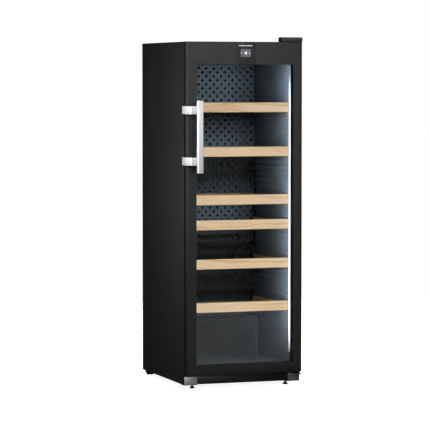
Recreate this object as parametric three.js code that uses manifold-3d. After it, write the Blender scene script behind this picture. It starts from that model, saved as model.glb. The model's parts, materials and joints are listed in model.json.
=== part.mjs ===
// Free-standing wine cooler: steel cabinet, insulated glass door, six beech shelves and a forced-air circuit.
//
// Millimetres, +Z up. Pieces are laid out from the lower left front corner of the door: X to the right,
// Y to the back and Z up from the floor. The finished assembly is then moved so that the origin is the
// middle of the floor under its bounding box.
import * as THREE from "three";
import { mergeVertices } from "three/addons/utils/BufferGeometryUtils.js";
import Module from "manifold-3d";

const wasm = await Module();
wasm.setup();

// ---------------------------------------------------------------- driving dimensions
const WIDTH = 597; // over the side panels, and the door
const FRONT_REACH = 62; // the handle stands this far in front of the door
const LEFT_REACH = 8; // and its mounts this far out of the door's left side
const REAR = 702; // the mains inlet, the rearmost point
const GAP = 0.3; // between pieces that touch

const BODY = { front: 39.5, rear: 700, bottom: 22, top: 1672, sheet: 1.5, flange: 16.5, rearFlange: 14 };
const FOAM_FLOOR = 64.3; // underside of the insulation and of the liner's rim
const RIM_TOP = 1655; // top of the liner's rim and of the rear sheet
const CAVITY = { left: 48, right: 549, floor: 105, ceiling: 1600, rear: 640 };
const HUMP = { front: 496, top: 294, chamfer: 14 }; // the cavity floor steps up over the machine compartment
const REAR_SHEET = { left: 14.5, right: 582.5, front: 698.6 }; // thin sheets across the back
const LINER_WALL = 2.5;
const RIB = { lowest: 370.4, pitch: 30.1, count: 33, height: 8, depth: 3.5, front: 87, rear: 530 };
const MACHINE_ROOM = { front: 540, ceiling: 250, floor: 63.5 };
const DUCT_PANEL = { front: 548, thick: 2, edge: 0.4 };
const LIGHT = { front: 44, rear: 62, bottom: 162, top: 1520, depth: 8.5, wireBore: 2 };

const DOOR = { bottom: 67.5, top: 1672.3, skin: 2, corner: 6, channelRear: 30, rear: 34, pinHole: 7 };
const PANE = { outer: [2.3, 6.3], spacer: [6.6, 22.6], inner: [22.9, 26.9], clip: [27.2, 30.5] }; // depths
const WINDOW = { left: 54.4, right: 547.5, bottom: 118.7, top: 1563.1, lip: 8 };
const GASKET = { left: 22, right: 575, bottom: 76, top: 1630, width: 18, rear: 39.2 };
const PANEL = { left: 253.6, right: 353.1 }; // control strip across the door's top border
const SCREEN = { left: 277.5, right: 328.6, bottom: 1598.6, top: 1636.3 };
const INLAY = { front: 0.05, rear: 0.9, pocket: 1.2 }; // control strip and screen, let into the front skin
const HINGE = { x: 583, y: 12, pin: 5, bore: 5.4, collar: 8.5, head: 7 };
const HINGE_COVER = {
  left: 487,
  right: 596,
  bottom: 1672.8,
  top: 1695,
  front: 1,
  rear: 118,
  wall: 2,
  corner: 7,
  taper: { front: 38, rear: 119, reach: 28.4 }, // the left side leans in towards the rear
};

const HANDLE = { x: -4.2, y: 5, armHeight: 38, armLevels: [1100.5, 1345], bottom: 1044.5, top: 1390 };
const KNUCKLE = { half: 10.5, radius: 3.8, bore: 2.2, pin: 1.9 };
const SHELF = { left: 50.5, right: 546.5, front: 65, thick: 20, height: 46.4, rear: 520, ease: 2 };
const RAIL = { inset: 2, width: 16, below: 20, above: 10 }; // heights from the middle of the front board
const PEG = { depths: [105, 490], size: 10, height: 8, reach: 1.5 };
const SLAT = { count: 7, depth: 38, margin: 6, above: -15 };
const SHELF_LEVELS = [1356.5, 1142.3, 909.3, 788, 598.5, 388.3]; // middle of each front board, from the top
const BOTTLE_FENCE = 3; // this shelf is an open frame: tall bottles on the next one stand up through it
const FEET = { left: 56, right: 538, y: 77, thread: 5, bore: 5.4, boss: 9 };
const ROLLER = { y: 655, radius: 21, axle: 4, from: 9, to: 43 };
const BRACKET = { face: [37, 39.2], ledge: [38, 96], bottom: 19, thick: 2.7 };
const PLATE = 3; // folded base and hinge plates
const FAN = { x: 298.5, z: 1500, blades: 7, mouth: 58, exit: 50, hub: 18, motor: 20, half: 68 };
const SUCTION = { x: 470, y: 592, tube: 3.6, bore: 5 }; // cold return line, up through the hump into the coil
const COIL_TUBE = 4;
const EVAPORATOR = {
  fins: 8,
  from: SUCTION.x,
  to: 120,
  depth: [SUCTION.y - 28, SUCTION.y + 28],
  rows: 4,
  rowStep: 55,
  bottom: 1200,
  finTop: 1390,
  tail: 1176,
};
const CONDENSER = {
  fins: 6,
  from: 252,
  to: 420,
  depth: [566, 676],
  rows: 4,
  rowStep: 34,
  bottom: 86,
  finTop: 206,
};
const COMPRESSOR = { x: 150, y: 618, radius: 70, bottom: 78, top: 203, plate: 80 };
const TRAY = { left: 95, right: 205, front: 560, rear: 676, bottom: 203.4, top: 226, wall: 2 };
const CONTROL_BOX = { left: 486, right: 572, front: 572, rear: 680, bottom: 110, top: 236 };
const INLET = { left: 505, right: 555, bottom: 66, top: 96, front: 684 };
const LOUVRE = { columns: [50, 190, 330], rows: 8, width: 110, height: 8, lowest: 70, pitch: 20 };

// ---------------------------------------------------------------- finishes: colour, roughness, metalness
const FINISHES = {
  blackSteel: [0x1d1e20, 0.5, 0.4],
  galvanised: [0x8d9094, 0.45, 0.8],
  brightSteel: [0xb9bcc0, 0.3, 0.95],
  satinAluminium: [0xd2d4d6, 0.35, 0.9],
  foam: [0xd9cf9a, 0.95, 0],
  linerPlastic: [0x2b2e33, 0.55, 0],
  blackPlastic: [0x141516, 0.5, 0],
  glossPanel: [0x0d0e10, 0.15, 0],
  screen: [0x5f6468, 0.3, 0],
  glass: [0xa9b4b6, 0.05, 0],
  rubber: [0x101011, 0.85, 0],
  lightCover: [0xf4f7ff, 0.4, 0],
  beech: [0xd8b98c, 0.65, 0],
  copper: [0xb06c48, 0.4, 0.9],
  motorBlack: [0x191a1b, 0.6, 0.3],
};

function finish(name) {
  const [color, roughness, metalness] = FINISHES[name];
  return new THREE.MeshStandardMaterial({ color, roughness, metalness });
}

// ---------------------------------------------------------------- solids and booleans
function toSolid(geometry) {
  const bare = new THREE.BufferGeometry();
  bare.setAttribute("position", geometry.getAttribute("position"));
  bare.setIndex(geometry.index);
  const merged = mergeVertices(bare, 1e-3);
  return new wasm.Manifold(
    new wasm.Mesh({
      numProp: 3,
      vertProperties: merged.getAttribute("position").array,
      triVerts: new Uint32Array(merged.index.array),
    }),
  );
}

function toGeometry(solid) {
  const { numProp, numVert, vertProperties, triVerts } = solid.getMesh();
  const positions = new Float32Array(numVert * 3);
  for (let i = 0; i < numVert; i += 1) {
    positions.set(vertProperties.subarray(i * numProp, i * numProp + 3), i * 3);
  }
  const geometry = new THREE.BufferGeometry();
  geometry.setAttribute("position", new THREE.BufferAttribute(positions, 3));
  geometry.setIndex(new THREE.BufferAttribute(triVerts, 1));
  geometry.computeVertexNormals();
  return geometry;
}

function join(...pieces) {
  return toGeometry(pieces.map(toSolid).reduce((whole, piece) => whole.add(piece)));
}

function cut(base, ...tools) {
  return toGeometry(tools.map(toSolid).reduce((left, tool) => left.subtract(tool), toSolid(base)));
}

/** Box between two corners. */
function block([x0, x1], [y0, y1], [z0, z1]) {
  const geometry = new THREE.BoxGeometry(x1 - x0, y1 - y0, z1 - z0);
  return geometry.translate((x0 + x1) / 2, (y0 + y1) / 2, (z0 + z1) / 2);
}

// Each axis takes the drawing plane's two coordinates and the depth to X, Y and Z by turning.
const AXIS_TURN = {
  x: new THREE.Matrix4().set(0, 0, 1, 0, 1, 0, 0, 0, 0, 1, 0, 0, 0, 0, 0, 1),
  y: new THREE.Matrix4().set(0, 1, 0, 0, 0, 0, 1, 0, 1, 0, 0, 0, 0, 0, 0, 1),
  z: new THREE.Matrix4(),
};

/** Outline extruded along an axis: [y, z] points for x, [z, x] points for y and [x, y] points for z. */
function prism(axis, outline, [from, to]) {
  const shape = new THREE.Shape(outline.map(([a, b]) => new THREE.Vector2(a, b)));
  const geometry = new THREE.ExtrudeGeometry(shape, { depth: to - from, bevelEnabled: false });
  return geometry.translate(0, 0, from).applyMatrix4(AXIS_TURN[axis]);
}

/** Round bar along an axis, at the drawing plane's point that prism describes. */
function rod(axis, [a, b], [from, to], radius, sides = 16) {
  const geometry = new THREE.CylinderGeometry(radius, radius, to - from, sides);
  geometry.rotateX(Math.PI / 2).translate(a, b, (from + to) / 2);
  return geometry.applyMatrix4(AXIS_TURN[axis]);
}

/** Solid of revolution about an axis through a plane point: [radius, distance along the axis] points. */
function turned(axis, [a, b], profile, sides = 20) {
  const points = profile.map(([r, h]) => new THREE.Vector2(r, h));
  const geometry = new THREE.LatheGeometry(points, sides).rotateX(Math.PI / 2);
  return geometry.translate(a, b, 0).applyMatrix4(AXIS_TURN[axis]);
}

function flipFaces(geometry) {
  const order = geometry.index.array;
  for (let i = 0; i < order.length; i += 3) {
    [order[i + 1], order[i + 2]] = [order[i + 2], order[i + 1]];
  }
  return geometry;
}

/** Tube along runs parallel to the axes; each run passes the corners between them by its radius. */
function tube(route, radius, sides = 6) {
  const runs = route.slice(1).map((to, i) => {
    const from = route[i];
    const axis = [0, 1, 2].find((n) => from[n] !== to[n]);
    const across = [from[(axis + 1) % 3], from[(axis + 2) % 3]];
    const direction = Math.sign(to[axis] - from[axis]);
    const start = from[axis] - (i ? direction * radius : 0);
    const end = to[axis] + (i < route.length - 2 ? direction * radius : 0);
    return rod("xyz"[axis], across, [Math.min(start, end), Math.max(start, end)], radius, sides);
  });
  return join(...runs);
}

/** Flat ring standing upright between two depths, given its outer edges and its width. */
function uprightRing(outer, width, depths) {
  const { left, right, bottom, top } = outer;
  const sides = block([left, right], depths, [bottom, top]);
  const [near, far] = depths;
  const hole = block([left + width, right - width], [near - 1, far + 1], [bottom + width, top - width]);
  return cut(sides, hole);
}

/** Plan outline of the door with rounded front corners, shrunk by inset. */
function doorOutline(inset, rear) {
  const radius = DOOR.corner - inset;
  const centres = [
    [inset + radius, inset + radius, Math.PI],
    [WIDTH - inset - radius, inset + radius, 1.5 * Math.PI],
  ];
  const arc = centres.flatMap(([x, y, start]) =>
    [0, 1, 2, 3].map((i) => {
      const angle = start + (i * Math.PI) / 6;
      return [x + radius * Math.cos(angle), y + radius * Math.sin(angle)];
    }),
  );
  return [...arc, [WIDTH - inset, rear], [inset, rear]];
}

// ---------------------------------------------------------------- assembly tree
const cooler = new THREE.Group();
const cabinet = new THREE.Group();
const door = new THREE.Group();
const shelves = new THREE.Group();
cooler.add(cabinet, door, shelves);

function place(group, name, geometry, finishName) {
  const mesh = new THREE.Mesh(geometry, finish(finishName));
  mesh.name = name;
  group.add(mesh);
}

// ---------------------------------------------------------------- outer panels
/** Folded sheet: the side, a flange across the front and a narrow one across the rear. */
function sidePanel(mirror) {
  const { front, rear, bottom, top, sheet, flange, rearFlange } = BODY;
  const outline = [
    [0, front],
    [flange + sheet, front],
    [flange + sheet, front + sheet],
    [sheet, front + sheet],
    [sheet, rear - sheet],
    [rearFlange, rear - sheet],
    [rearFlange, rear],
    [0, rear],
  ];
  const placed = mirror ? outline.map(([x, y]) => [WIDTH - x, y]) : outline;
  return prism("z", placed, [bottom, top]);
}

function topPanel() {
  const { front, rear, top, sheet, flange } = BODY;
  const across = [sheet + GAP, WIDTH - sheet - GAP];
  const between = [flange + 2 * sheet, WIDTH - flange - 2 * sheet];
  const sheetPlate = block(across, [front + sheet + GAP, rear - sheet - GAP], [top - sheet, top]);
  const frontEdge = block(between, [front, front + sheet], [top - flange, top]);
  const frontJoin = block(between, [front, front + 2 * sheet], [top - sheet, top]);
  const rearEdge = block(between, [rear - 2 * sheet, rear - sheet], [top - flange, top]);
  return join(sheetPlate, frontEdge, frontJoin, rearEdge);
}

place(cabinet, "left_side_panel", sidePanel(false), "blackSteel");
place(cabinet, "right_side_panel", sidePanel(true), "blackSteel");
place(cabinet, "top_panel", topPanel(), "blackSteel");

function rearSheet(heights) {
  return block([REAR_SHEET.left, REAR_SHEET.right], [REAR_SHEET.front, BODY.rear], heights);
}
place(cabinet, "rear_panel", rearSheet([MACHINE_ROOM.ceiling + GAP, RIM_TOP]), "galvanised");

// ---------------------------------------------------------------- insulation and inner liner
/** Side outline of the cavity, grown outwards by a wall. */
function cavityOutline(wall, front) {
  const { floor, ceiling, rear } = CAVITY;
  const ease = 0.4 * wall;
  return [
    [front, floor - wall],
    [HUMP.front + wall, floor - wall],
    [HUMP.front + wall, HUMP.top - HUMP.chamfer - ease],
    [HUMP.front + HUMP.chamfer + ease, HUMP.top - wall],
    [rear + wall, HUMP.top - wall],
    [rear + wall, ceiling + wall],
    [front, ceiling + wall],
  ];
}

/** Slot for a light column, on the right or mirrored to the left wall. */
function lightSlot(mirror, near, far, clearance) {
  const across = mirror ? [WIDTH - far, WIDTH - near] : [near, far];
  const depth = [LIGHT.front - clearance, LIGHT.rear + clearance];
  return block(across, depth, [LIGHT.bottom - clearance, LIGHT.top + clearance]);
}

function insulation() {
  const { front, rear, top, sheet } = BODY;
  const outline = [
    [front + LINER_WALL + GAP, FOAM_FLOOR],
    [MACHINE_ROOM.front, FOAM_FLOOR],
    [MACHINE_ROOM.front, MACHINE_ROOM.ceiling],
    [rear - 2 * sheet - GAP, MACHINE_ROOM.ceiling],
    [rear - 2 * sheet - GAP, top - sheet - GAP],
    [front + LINER_WALL + GAP, top - sheet - GAP],
  ];
  const wall = LINER_WALL + GAP;
  const foam = prism("x", outline, [sheet + GAP, WIDTH - sheet - GAP]);
  const space = prism("x", cavityOutline(wall, front), [CAVITY.left - wall, CAVITY.right + wall]);
  const pocketFloor = CAVITY.right + LIGHT.depth + GAP;
  return cut(
    foam,
    space,
    lightSlot(false, CAVITY.right, pocketFloor, 2 * GAP),
    lightSlot(true, CAVITY.right, pocketFloor, 2 * GAP),
    rod("z", [SUCTION.x, SUCTION.y], [MACHINE_ROOM.ceiling - 5, HUMP.top + 5], SUCTION.bore, 12),
  );
}

function innerLiner() {
  const { left, right } = CAVITY;
  const outside = prism("x", cavityOutline(LINER_WALL, BODY.front), [left - LINER_WALL, right + LINER_WALL]);
  const edges = BODY.flange + BODY.sheet + GAP;
  const rim = block([edges, WIDTH - edges], [BODY.front, BODY.front + LINER_WALL], [FOAM_FLOOR, RIM_TOP]);
  const inside = prism("x", cavityOutline(0, BODY.front - 1), [left, right]);
  const shell = cut(
    join(outside, rim),
    inside,
    lightSlot(false, right - 1, right + LINER_WALL + 1, GAP),
    lightSlot(true, right - 1, right + LINER_WALL + 1, GAP),
    rod("z", [SUCTION.x, SUCTION.y], [HUMP.top - 5, HUMP.top + 5], SUCTION.bore, 12),
  );
  const ribs = [];
  for (let i = 0; i < RIB.count; i += 1) {
    const middle = RIB.lowest + i * RIB.pitch;
    const tall = [middle - RIB.height / 2, middle + RIB.height / 2];
    ribs.push(block([left - 1, left + RIB.depth], [RIB.front, RIB.rear], tall));
    ribs.push(block([right - RIB.depth, right + 1], [RIB.front, RIB.rear], tall));
  }
  return join(shell, ...ribs);
}

place(cabinet, "insulation", insulation(), "foam");
place(cabinet, "inner_liner", innerLiner(), "linerPlastic");

// ---------------------------------------------------------------- light columns, let into the side walls
function lightColumn(mirror) {
  const { front, rear, bottom, top, depth } = LIGHT;
  const middle = (front + rear) / 2;
  const side = CAVITY.right;
  const body = block([side, side + depth], [front, rear], [bottom, top]);
  const wireBore = rod("y", [bottom + 12, side + depth / 2], [middle, rear + 1], LIGHT.wireBore, 10);
  const column = cut(body, wireBore);
  if (!mirror) return column;
  return flipFaces(column.applyMatrix4(new THREE.Matrix4().makeScale(-1, 1, 1)).translate(WIDTH, 0, 0));
}

place(cabinet, "light_column_left", lightColumn(true), "lightCover");
place(cabinet, "light_column_right", lightColumn(false), "lightCover");

// ---------------------------------------------------------------- cold air circuit behind the duct panel
function airDuctPanel() {
  const { front, thick, edge } = DUCT_PANEL;
  const across = [CAVITY.left + edge, CAVITY.right - edge];
  return block(across, [front, front + thick], [HUMP.top + edge, CAVITY.ceiling - edge]);
}
place(cabinet, "air_duct_panel", airDuctPanel(), "linerPlastic");

/** Serpentine tube through a stack of upright fins, with a tail that runs straight down at its lower end. */
function finnedCoil({ fins, from, to, depth, rows, rowStep, bottom, finTop, tail }) {
  const middle = (depth[0] + depth[1]) / 2;
  const route = [];
  for (let row = 0; row < rows; row += 1) {
    const height = bottom + row * rowStep;
    const ends = row % 2 ? [to, from] : [from, to];
    route.push([ends[0], middle, height], [ends[1], middle, height]);
  }
  if (tail) route.unshift([from, middle, tail]);
  const inset = (Math.abs(to - from) * 0.12) / 2;
  const [low, high] = [Math.min(from, to) + 2 * inset, Math.max(from, to) - 2 * inset];
  const plates = [];
  for (let i = 0; i < fins; i += 1) {
    const x = low + (i * (high - low)) / (fins - 1);
    plates.push(block([x - 0.8, x + 0.8], depth, [bottom - 14, finTop]));
  }
  return join(tube(route, COIL_TUBE), ...plates);
}

place(cabinet, "evaporator", finnedCoil(EVAPORATOR), "satinAluminium");

/** Square fan plate with a round mouth, three struts, the motor and its shaft. */
function fanShroud() {
  const centre = [FAN.z, FAN.x];
  const { half } = FAN;
  const plate = block([FAN.x - half, FAN.x + half], [562, 594], [FAN.z - half, FAN.z + half]);
  const mouth = rod("y", centre, [560, 588], FAN.mouth, 28);
  const exit = rod("y", centre, [560, 600], FAN.exit, 28);
  const struts = [0, 1, 2].map((i) => {
    const bar = block([-4, 4], [588, 594], [15, 62]);
    return bar.rotateY((i * 2 * Math.PI) / 3).translate(FAN.x, 0, FAN.z);
  });
  const motor = rod("y", centre, [586, 602], FAN.motor, 20);
  const shaft = rod("y", centre, [573, 590], 2.4, 10);
  return join(cut(plate, mouth, exit), ...struts, motor, shaft);
}

function fanRotor() {
  const hub = rod("y", [FAN.z, FAN.x], [566, 584], FAN.hub, 20);
  const bore = rod("y", [FAN.z, FAN.x], [571, 586], 3, 12);
  const blades = [];
  for (let i = 0; i < FAN.blades; i += 1) {
    const blade = new THREE.BoxGeometry(20, 1.8, 38).rotateZ(0.55).translate(0, 575, 35);
    blades.push(blade.rotateY((i * 2 * Math.PI) / FAN.blades).translate(FAN.x, 0, FAN.z));
  }
  return cut(join(hub, ...blades), bore);
}

place(cabinet, "fan_shroud", fanShroud(), "blackPlastic");
place(cabinet, "fan_rotor", fanRotor(), "blackPlastic");

// ---------------------------------------------------------------- base, feet and rollers
function baseFrame() {
  const floor = MACHINE_ROOM.floor;
  const pan = block([3, WIDTH - 3], [43, 697], [floor - 2.5, floor]);
  const frontWall = block([3, WIDTH - 3], [43, 46], [24, floor - 1]);
  const rearWall = block([4, WIDTH - 4], [694, 697], [44, floor - 1]);
  const parts = [pan, frontWall, rearWall];
  for (const left of [4, 46, WIDTH - 49, WIDTH - 7]) {
    const web = block([left, left + PLATE], [98, 696], [24, floor - 1]);
    const lug = block([left, left + PLATE], [ROLLER.y - 14, ROLLER.y + 14], [11, 30]);
    parts.push(web, lug);
  }
  const axleBores = rod("x", [ROLLER.y, ROLLER.radius], [0, WIDTH], ROLLER.axle + 0.4, 16);
  return cut(join(...parts), axleBores);
}

/** Bracket folded from thick plate: an upright face and a foot flange with a threaded boss. */
function footBracket(face, flange, footX, faceTop, extras) {
  const { bottom, thick } = BRACKET;
  const upright = block(face, BRACKET.face, [bottom, faceTop]);
  const ledge = block(flange, BRACKET.ledge, [bottom, bottom + thick]);
  const boss = rod("z", [footX, FEET.y], [bottom + 1, bottom + 11], FEET.boss, 6);
  const thread = rod("z", [footX, FEET.y], [bottom - 2, bottom + 14], FEET.bore, 20);
  return cut(join(upright, ledge, boss, ...extras), thread);
}

function lowerHingeBracket() {
  const tongueTop = 59;
  const tongue = block([562, WIDTH], [1.5, 38], [tongueTop - PLATE, tongueTop]);
  const bracket = footBracket([538, WIDTH], [522, WIDTH], FEET.right, tongueTop, [tongue]);
  const screws = [549, 566, 584].map((x) => rod("y", [40, x], [30, 42], 3.2, 12));
  return cut(bracket, rod("z", [HINGE.x, HINGE.y], [50, 65], HINGE.bore, 20), ...screws);
}

const { thread } = FEET;
const footProfile = [[0, 0], [13, 0], [13.4, 2.5], [7, 8], [thread, 10], [thread, 50], [0, 50]];
const rollerProfile = [
  [0, 3.9],
  [ROLLER.axle, 3.9],
  [ROLLER.axle, 7.5],
  [ROLLER.axle + 3, 7.5],
  [ROLLER.axle + 3, ROLLER.from],
  [ROLLER.radius - 3, ROLLER.from],
  [ROLLER.radius, ROLLER.from + 3],
  [ROLLER.radius, ROLLER.to - 3],
  [ROLLER.radius - 3, ROLLER.to],
  [ROLLER.axle, ROLLER.to],
  [ROLLER.axle, 49.1],
  [0, 49.1],
];
const mirroredRoller = rollerProfile.map(([r, x]) => [r, WIDTH - x]).reverse();

place(cabinet, "base_frame", baseFrame(), "galvanised");
place(cabinet, "plinth", block([69.5, 537.5], [39.5, 42], [22.3, 62]), "blackSteel");
place(cabinet, "left_foot_bracket", footBracket([3, 69], [3, 69], FEET.left, 61, []), "brightSteel");
place(cabinet, "lower_hinge_bracket", lowerHingeBracket(), "brightSteel");
place(cabinet, "front_foot_left", turned("z", [FEET.left, FEET.y], footProfile, 20), "blackPlastic");
place(cabinet, "front_foot_right", turned("z", [FEET.right, FEET.y], footProfile, 20), "blackPlastic");
const atRoller = [ROLLER.y, ROLLER.radius];
place(cabinet, "rear_roller_left", turned("x", atRoller, rollerProfile, 24), "blackPlastic");
place(cabinet, "rear_roller_right", turned("x", atRoller, mirroredRoller, 24), "blackPlastic");

// ---------------------------------------------------------------- hinges on the cabinet
const { pin, collar, head } = HINGE;
const lowerPin = [[0, 51], [pin, 51], [pin, 59.3], [collar, 59.3], [collar, 62.5], [pin, 62.5]];
const lowerPinTop = [[pin, 82], [pin - 1.5, 84], [0, 84]];
const upperPin = [[0, 1656], [pin - 1.5, 1656], [pin, 1658], [pin, 1676.3]];
const upperPinHead = [[head, 1676.3], [head, 1680], [0, 1680]];
const atHinge = [HINGE.x, HINGE.y];
place(cabinet, "lower_hinge_pin", turned("z", atHinge, [...lowerPin, ...lowerPinTop], 20), "brightSteel");
place(cabinet, "upper_hinge_pin", turned("z", atHinge, [...upperPin, ...upperPinHead], 20), "brightSteel");

function upperHingeBracket() {
  const plate = block([546, 589.5], [3.6, 112], [1673, 1673 + PLATE]);
  const bore = rod("z", atHinge, [1670, 1680], HINGE.bore, 20);
  const screws = [[558, 60], [578, 60], [568, 95]].map((p) => rod("z", p, [1670, 1680], 3, 12));
  return cut(plate, bore, ...screws);
}
place(cabinet, "upper_hinge_bracket", upperHingeBracket(), "galvanised");

/** Open-bottomed plastic cap with a rounded top right edge and a tapered left side. */
function hingeCover() {
  const { left, right, bottom, top, front, rear, wall, taper } = HINGE_COVER;
  const outline = (inset, base) => {
    const radius = HINGE_COVER.corner - inset;
    const centre = [top - inset - radius, right - inset - radius];
    const arc = [0, 1, 2, 3].map((i) => {
      const angle = (i * Math.PI) / 6;
      return [centre[0] + radius * Math.cos(angle), centre[1] + radius * Math.sin(angle)];
    });
    return [[base, left + inset], [top - inset, left + inset], ...arc, [base, right - inset]];
  };
  const shape = (inset, base, depth) => {
    const edge = left + inset;
    const corners = [[edge, taper.front], [edge + taper.reach, taper.rear], [edge - 9, taper.rear]];
    return cut(prism("y", outline(inset, base), depth), prism("z", corners, [base - 1, top + 1]));
  };
  return cut(shape(0, bottom, [front, rear]), shape(wall, bottom - 1, [front + wall, rear - wall]));
}
place(cabinet, "hinge_cover", hingeCover(), "blackPlastic");

// ---------------------------------------------------------------- machine compartment
/** Welded shell on a foot plate with four rubber grommets, and an oil filling hole in its left side. */
function compressor() {
  const { x, y, radius, bottom, top, plate: plateTop } = COMPRESSOR;
  const at = [x, y];
  const outer = [[0, bottom], [58, 80], [radius, 92], [radius, 150], [62, 184], [40, 200], [0, top]];
  const inner = [[0, 85], [55, 87], [radius - 7, 96], [radius - 7, 148], [56, 178], [37, 192], [0, 195]];
  const shell = cut(turned("z", at, outer), turned("z", at, inner), rod("x", [y, 130], [60, 100], 6, 12));
  const plate = block([78, 222], [566, 670], [76.5, plateTop]);
  const grommets = [[88, 576], [212, 576], [88, 660], [212, 660]].map((p) => rod("z", p, [63.9, 77], 9, 12));
  return cut(join(shell, plate, ...grommets), turned("z", at, inner));
}

/** Shallow pan that sits on the warm compressor and dries the defrost water. */
function dripTray() {
  const { left, right, front, rear, bottom, top, wall } = TRAY;
  const outer = block([left, right], [front, rear], [bottom, top]);
  const inside = block([left + wall, right - wall], [front + wall, rear - wall], [bottom + wall, top + 1]);
  return cut(outer, inside);
}

const shellEdge = COMPRESSOR.x + COMPRESSOR.radius + 2 * GAP;
const suctionRoute = [
  [SUCTION.x, SUCTION.y, 1175.5],
  [SUCTION.x, SUCTION.y, 238],
  [236, SUCTION.y, 238],
  [236, SUCTION.y, 140],
  [236, COMPRESSOR.y, 140],
  [shellEdge, COMPRESSOR.y, 140],
];

function machineCover() {
  const through = [REAR_SHEET.front - 1, BODY.rear + 1];
  const louvres = [];
  for (const left of LOUVRE.columns) {
    for (let row = 0; row < LOUVRE.rows; row += 1) {
      const low = LOUVRE.lowest + row * LOUVRE.pitch;
      louvres.push(block([left, left + LOUVRE.width], through, [low, low + LOUVRE.height]));
    }
  }
  const inlet = block([INLET.left - GAP, INLET.right + GAP], through, [INLET.bottom - GAP, INLET.top + GAP]);
  return cut(rearSheet([30, MACHINE_ROOM.ceiling]), inlet, ...louvres);
}

/** Three-pin appliance inlet set in the rear cover, open to the back. */
function mainsInlet() {
  const { left, right, bottom, top, front } = INLET;
  const body = block([left, right], [front, REAR], [bottom, top]);
  const socket = block([left + 9, right - 9], [front + 3, REAR + 1], [bottom + 4, top - 4]);
  const blades = [-8, 0, 8].map((offset) => {
    const x = (left + right) / 2 + offset;
    return block([x - 2, x + 2], [front + 2, REAR - 3], [bottom + 11, top - 11]);
  });
  return join(cut(body, socket), ...blades);
}

function controlBox() {
  const { left, right, front, rear, bottom, top } = CONTROL_BOX;
  return block([left, right], [front, rear], [bottom, top]);
}

place(cabinet, "compressor", compressor(), "motorBlack");
place(cabinet, "condenser", finnedCoil(CONDENSER), "motorBlack");
place(cabinet, "drip_tray", dripTray(), "blackPlastic");
place(cabinet, "suction_line", tube(suctionRoute, SUCTION.tube), "copper");
place(cabinet, "discharge_line", rod("x", [COMPRESSOR.y + 3, 86], [222.6, 251.6], 3, 10), "copper");
place(cabinet, "control_box", controlBox(), "blackPlastic");
place(cabinet, "machine_cover", machineCover(), "galvanised");
place(cabinet, "mains_inlet", mainsInlet(), "blackPlastic");

// ---------------------------------------------------------------- door
/** Channel frame: front skin, rounded outer wall and the wall round the glass, open at the back. */
function doorFrame() {
  const { bottom, top, skin, channelRear } = DOOR;
  const { lip } = WINDOW;
  const outer = prism("z", doorOutline(0, channelRear), [bottom, top]);
  const hollow = prism("z", doorOutline(skin, channelRear + 1), [bottom + skin, top - skin]);
  const glassPocket = (grow, depths) =>
    block(
      [WINDOW.left - lip - grow, WINDOW.right + lip + grow],
      depths,
      [WINDOW.bottom - lip - grow, WINDOW.top + lip + grow],
    );
  const channel = cut(hollow, glassPocket(skin, [0, channelRear + 2]));
  const window = block([WINDOW.left, WINDOW.right], [-1, channelRear + 1], [WINDOW.bottom, WINDOW.top]);
  const across = [PANEL.left - GAP, PANEL.right + GAP];
  const inlay = block(across, [-1, INLAY.pocket], [WINDOW.top - 1, top + 1]);
  const pinHole = rod("z", atHinge, [bottom - 5, top + 5], DOOR.pinHole, 20);
  return cut(outer, channel, window, glassPocket(0, [skin, channelRear + 1]), inlay, pinHole);
}

/** Glass unit piece: a plate or ring that fills the pocket behind the frame's lip. */
const POCKET = {
  left: WINDOW.left - WINDOW.lip + GAP,
  right: WINDOW.right + WINDOW.lip - GAP,
  bottom: WINDOW.bottom - WINDOW.lip + GAP,
  top: WINDOW.top + WINDOW.lip - GAP,
};
const pane = (depths) => block([POCKET.left, POCKET.right], depths, [POCKET.bottom, POCKET.top]);
const borderWidth = WINDOW.lip - GAP;

function doorRearFrame() {
  const outer = block([1, WIDTH - 1], [30.3, DOOR.rear], [DOOR.bottom + 1, DOOR.top - 1]);
  const window = block([WINDOW.left, WINDOW.right], [20, 40], [WINDOW.bottom, WINDOW.top]);
  return cut(join(outer, uprightRing(POCKET, borderWidth, PANE.clip)), window);
}

function hingeBush(heights) {
  return cut(block([560, 592], [4, 29.7], heights), rod("z", atHinge, [0, DOOR.top], HINGE.bore, 20));
}

const inlayDepth = [INLAY.front, INLAY.rear];
const screen = (grow, depths) =>
  block([SCREEN.left - grow, SCREEN.right + grow], depths, [SCREEN.bottom - grow, SCREEN.top + grow]);

/** Control strip in the top border, with a window for the screen. */
function controlPanel() {
  const strip = block([PANEL.left, PANEL.right], inlayDepth, [WINDOW.top + 0.1, DOOR.top - 0.1]);
  return cut(strip, screen(GAP, [-1, 2]));
}

place(door, "door_frame", doorFrame(), "blackSteel");
place(door, "outer_glass", pane(PANE.outer), "glass");
place(door, "glass_spacer", uprightRing(POCKET, borderWidth, PANE.spacer), "blackPlastic");
place(door, "inner_glass", pane(PANE.inner), "glass");
place(door, "door_rear_frame", doorRearFrame(), "blackPlastic");
place(door, "door_gasket", uprightRing(GASKET, GASKET.width, [DOOR.rear + GAP, GASKET.rear]), "rubber");
place(door, "control_panel", controlPanel(), "glossPanel");
place(door, "display_screen", screen(0, inlayDepth), "screen");
place(door, "hinge_bush_lower", hingeBush([DOOR.bottom + 2.3, 95]), "blackPlastic");
place(door, "hinge_bush_upper", hingeBush([1645, DOOR.top - 2.3]), "blackPlastic");

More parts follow.
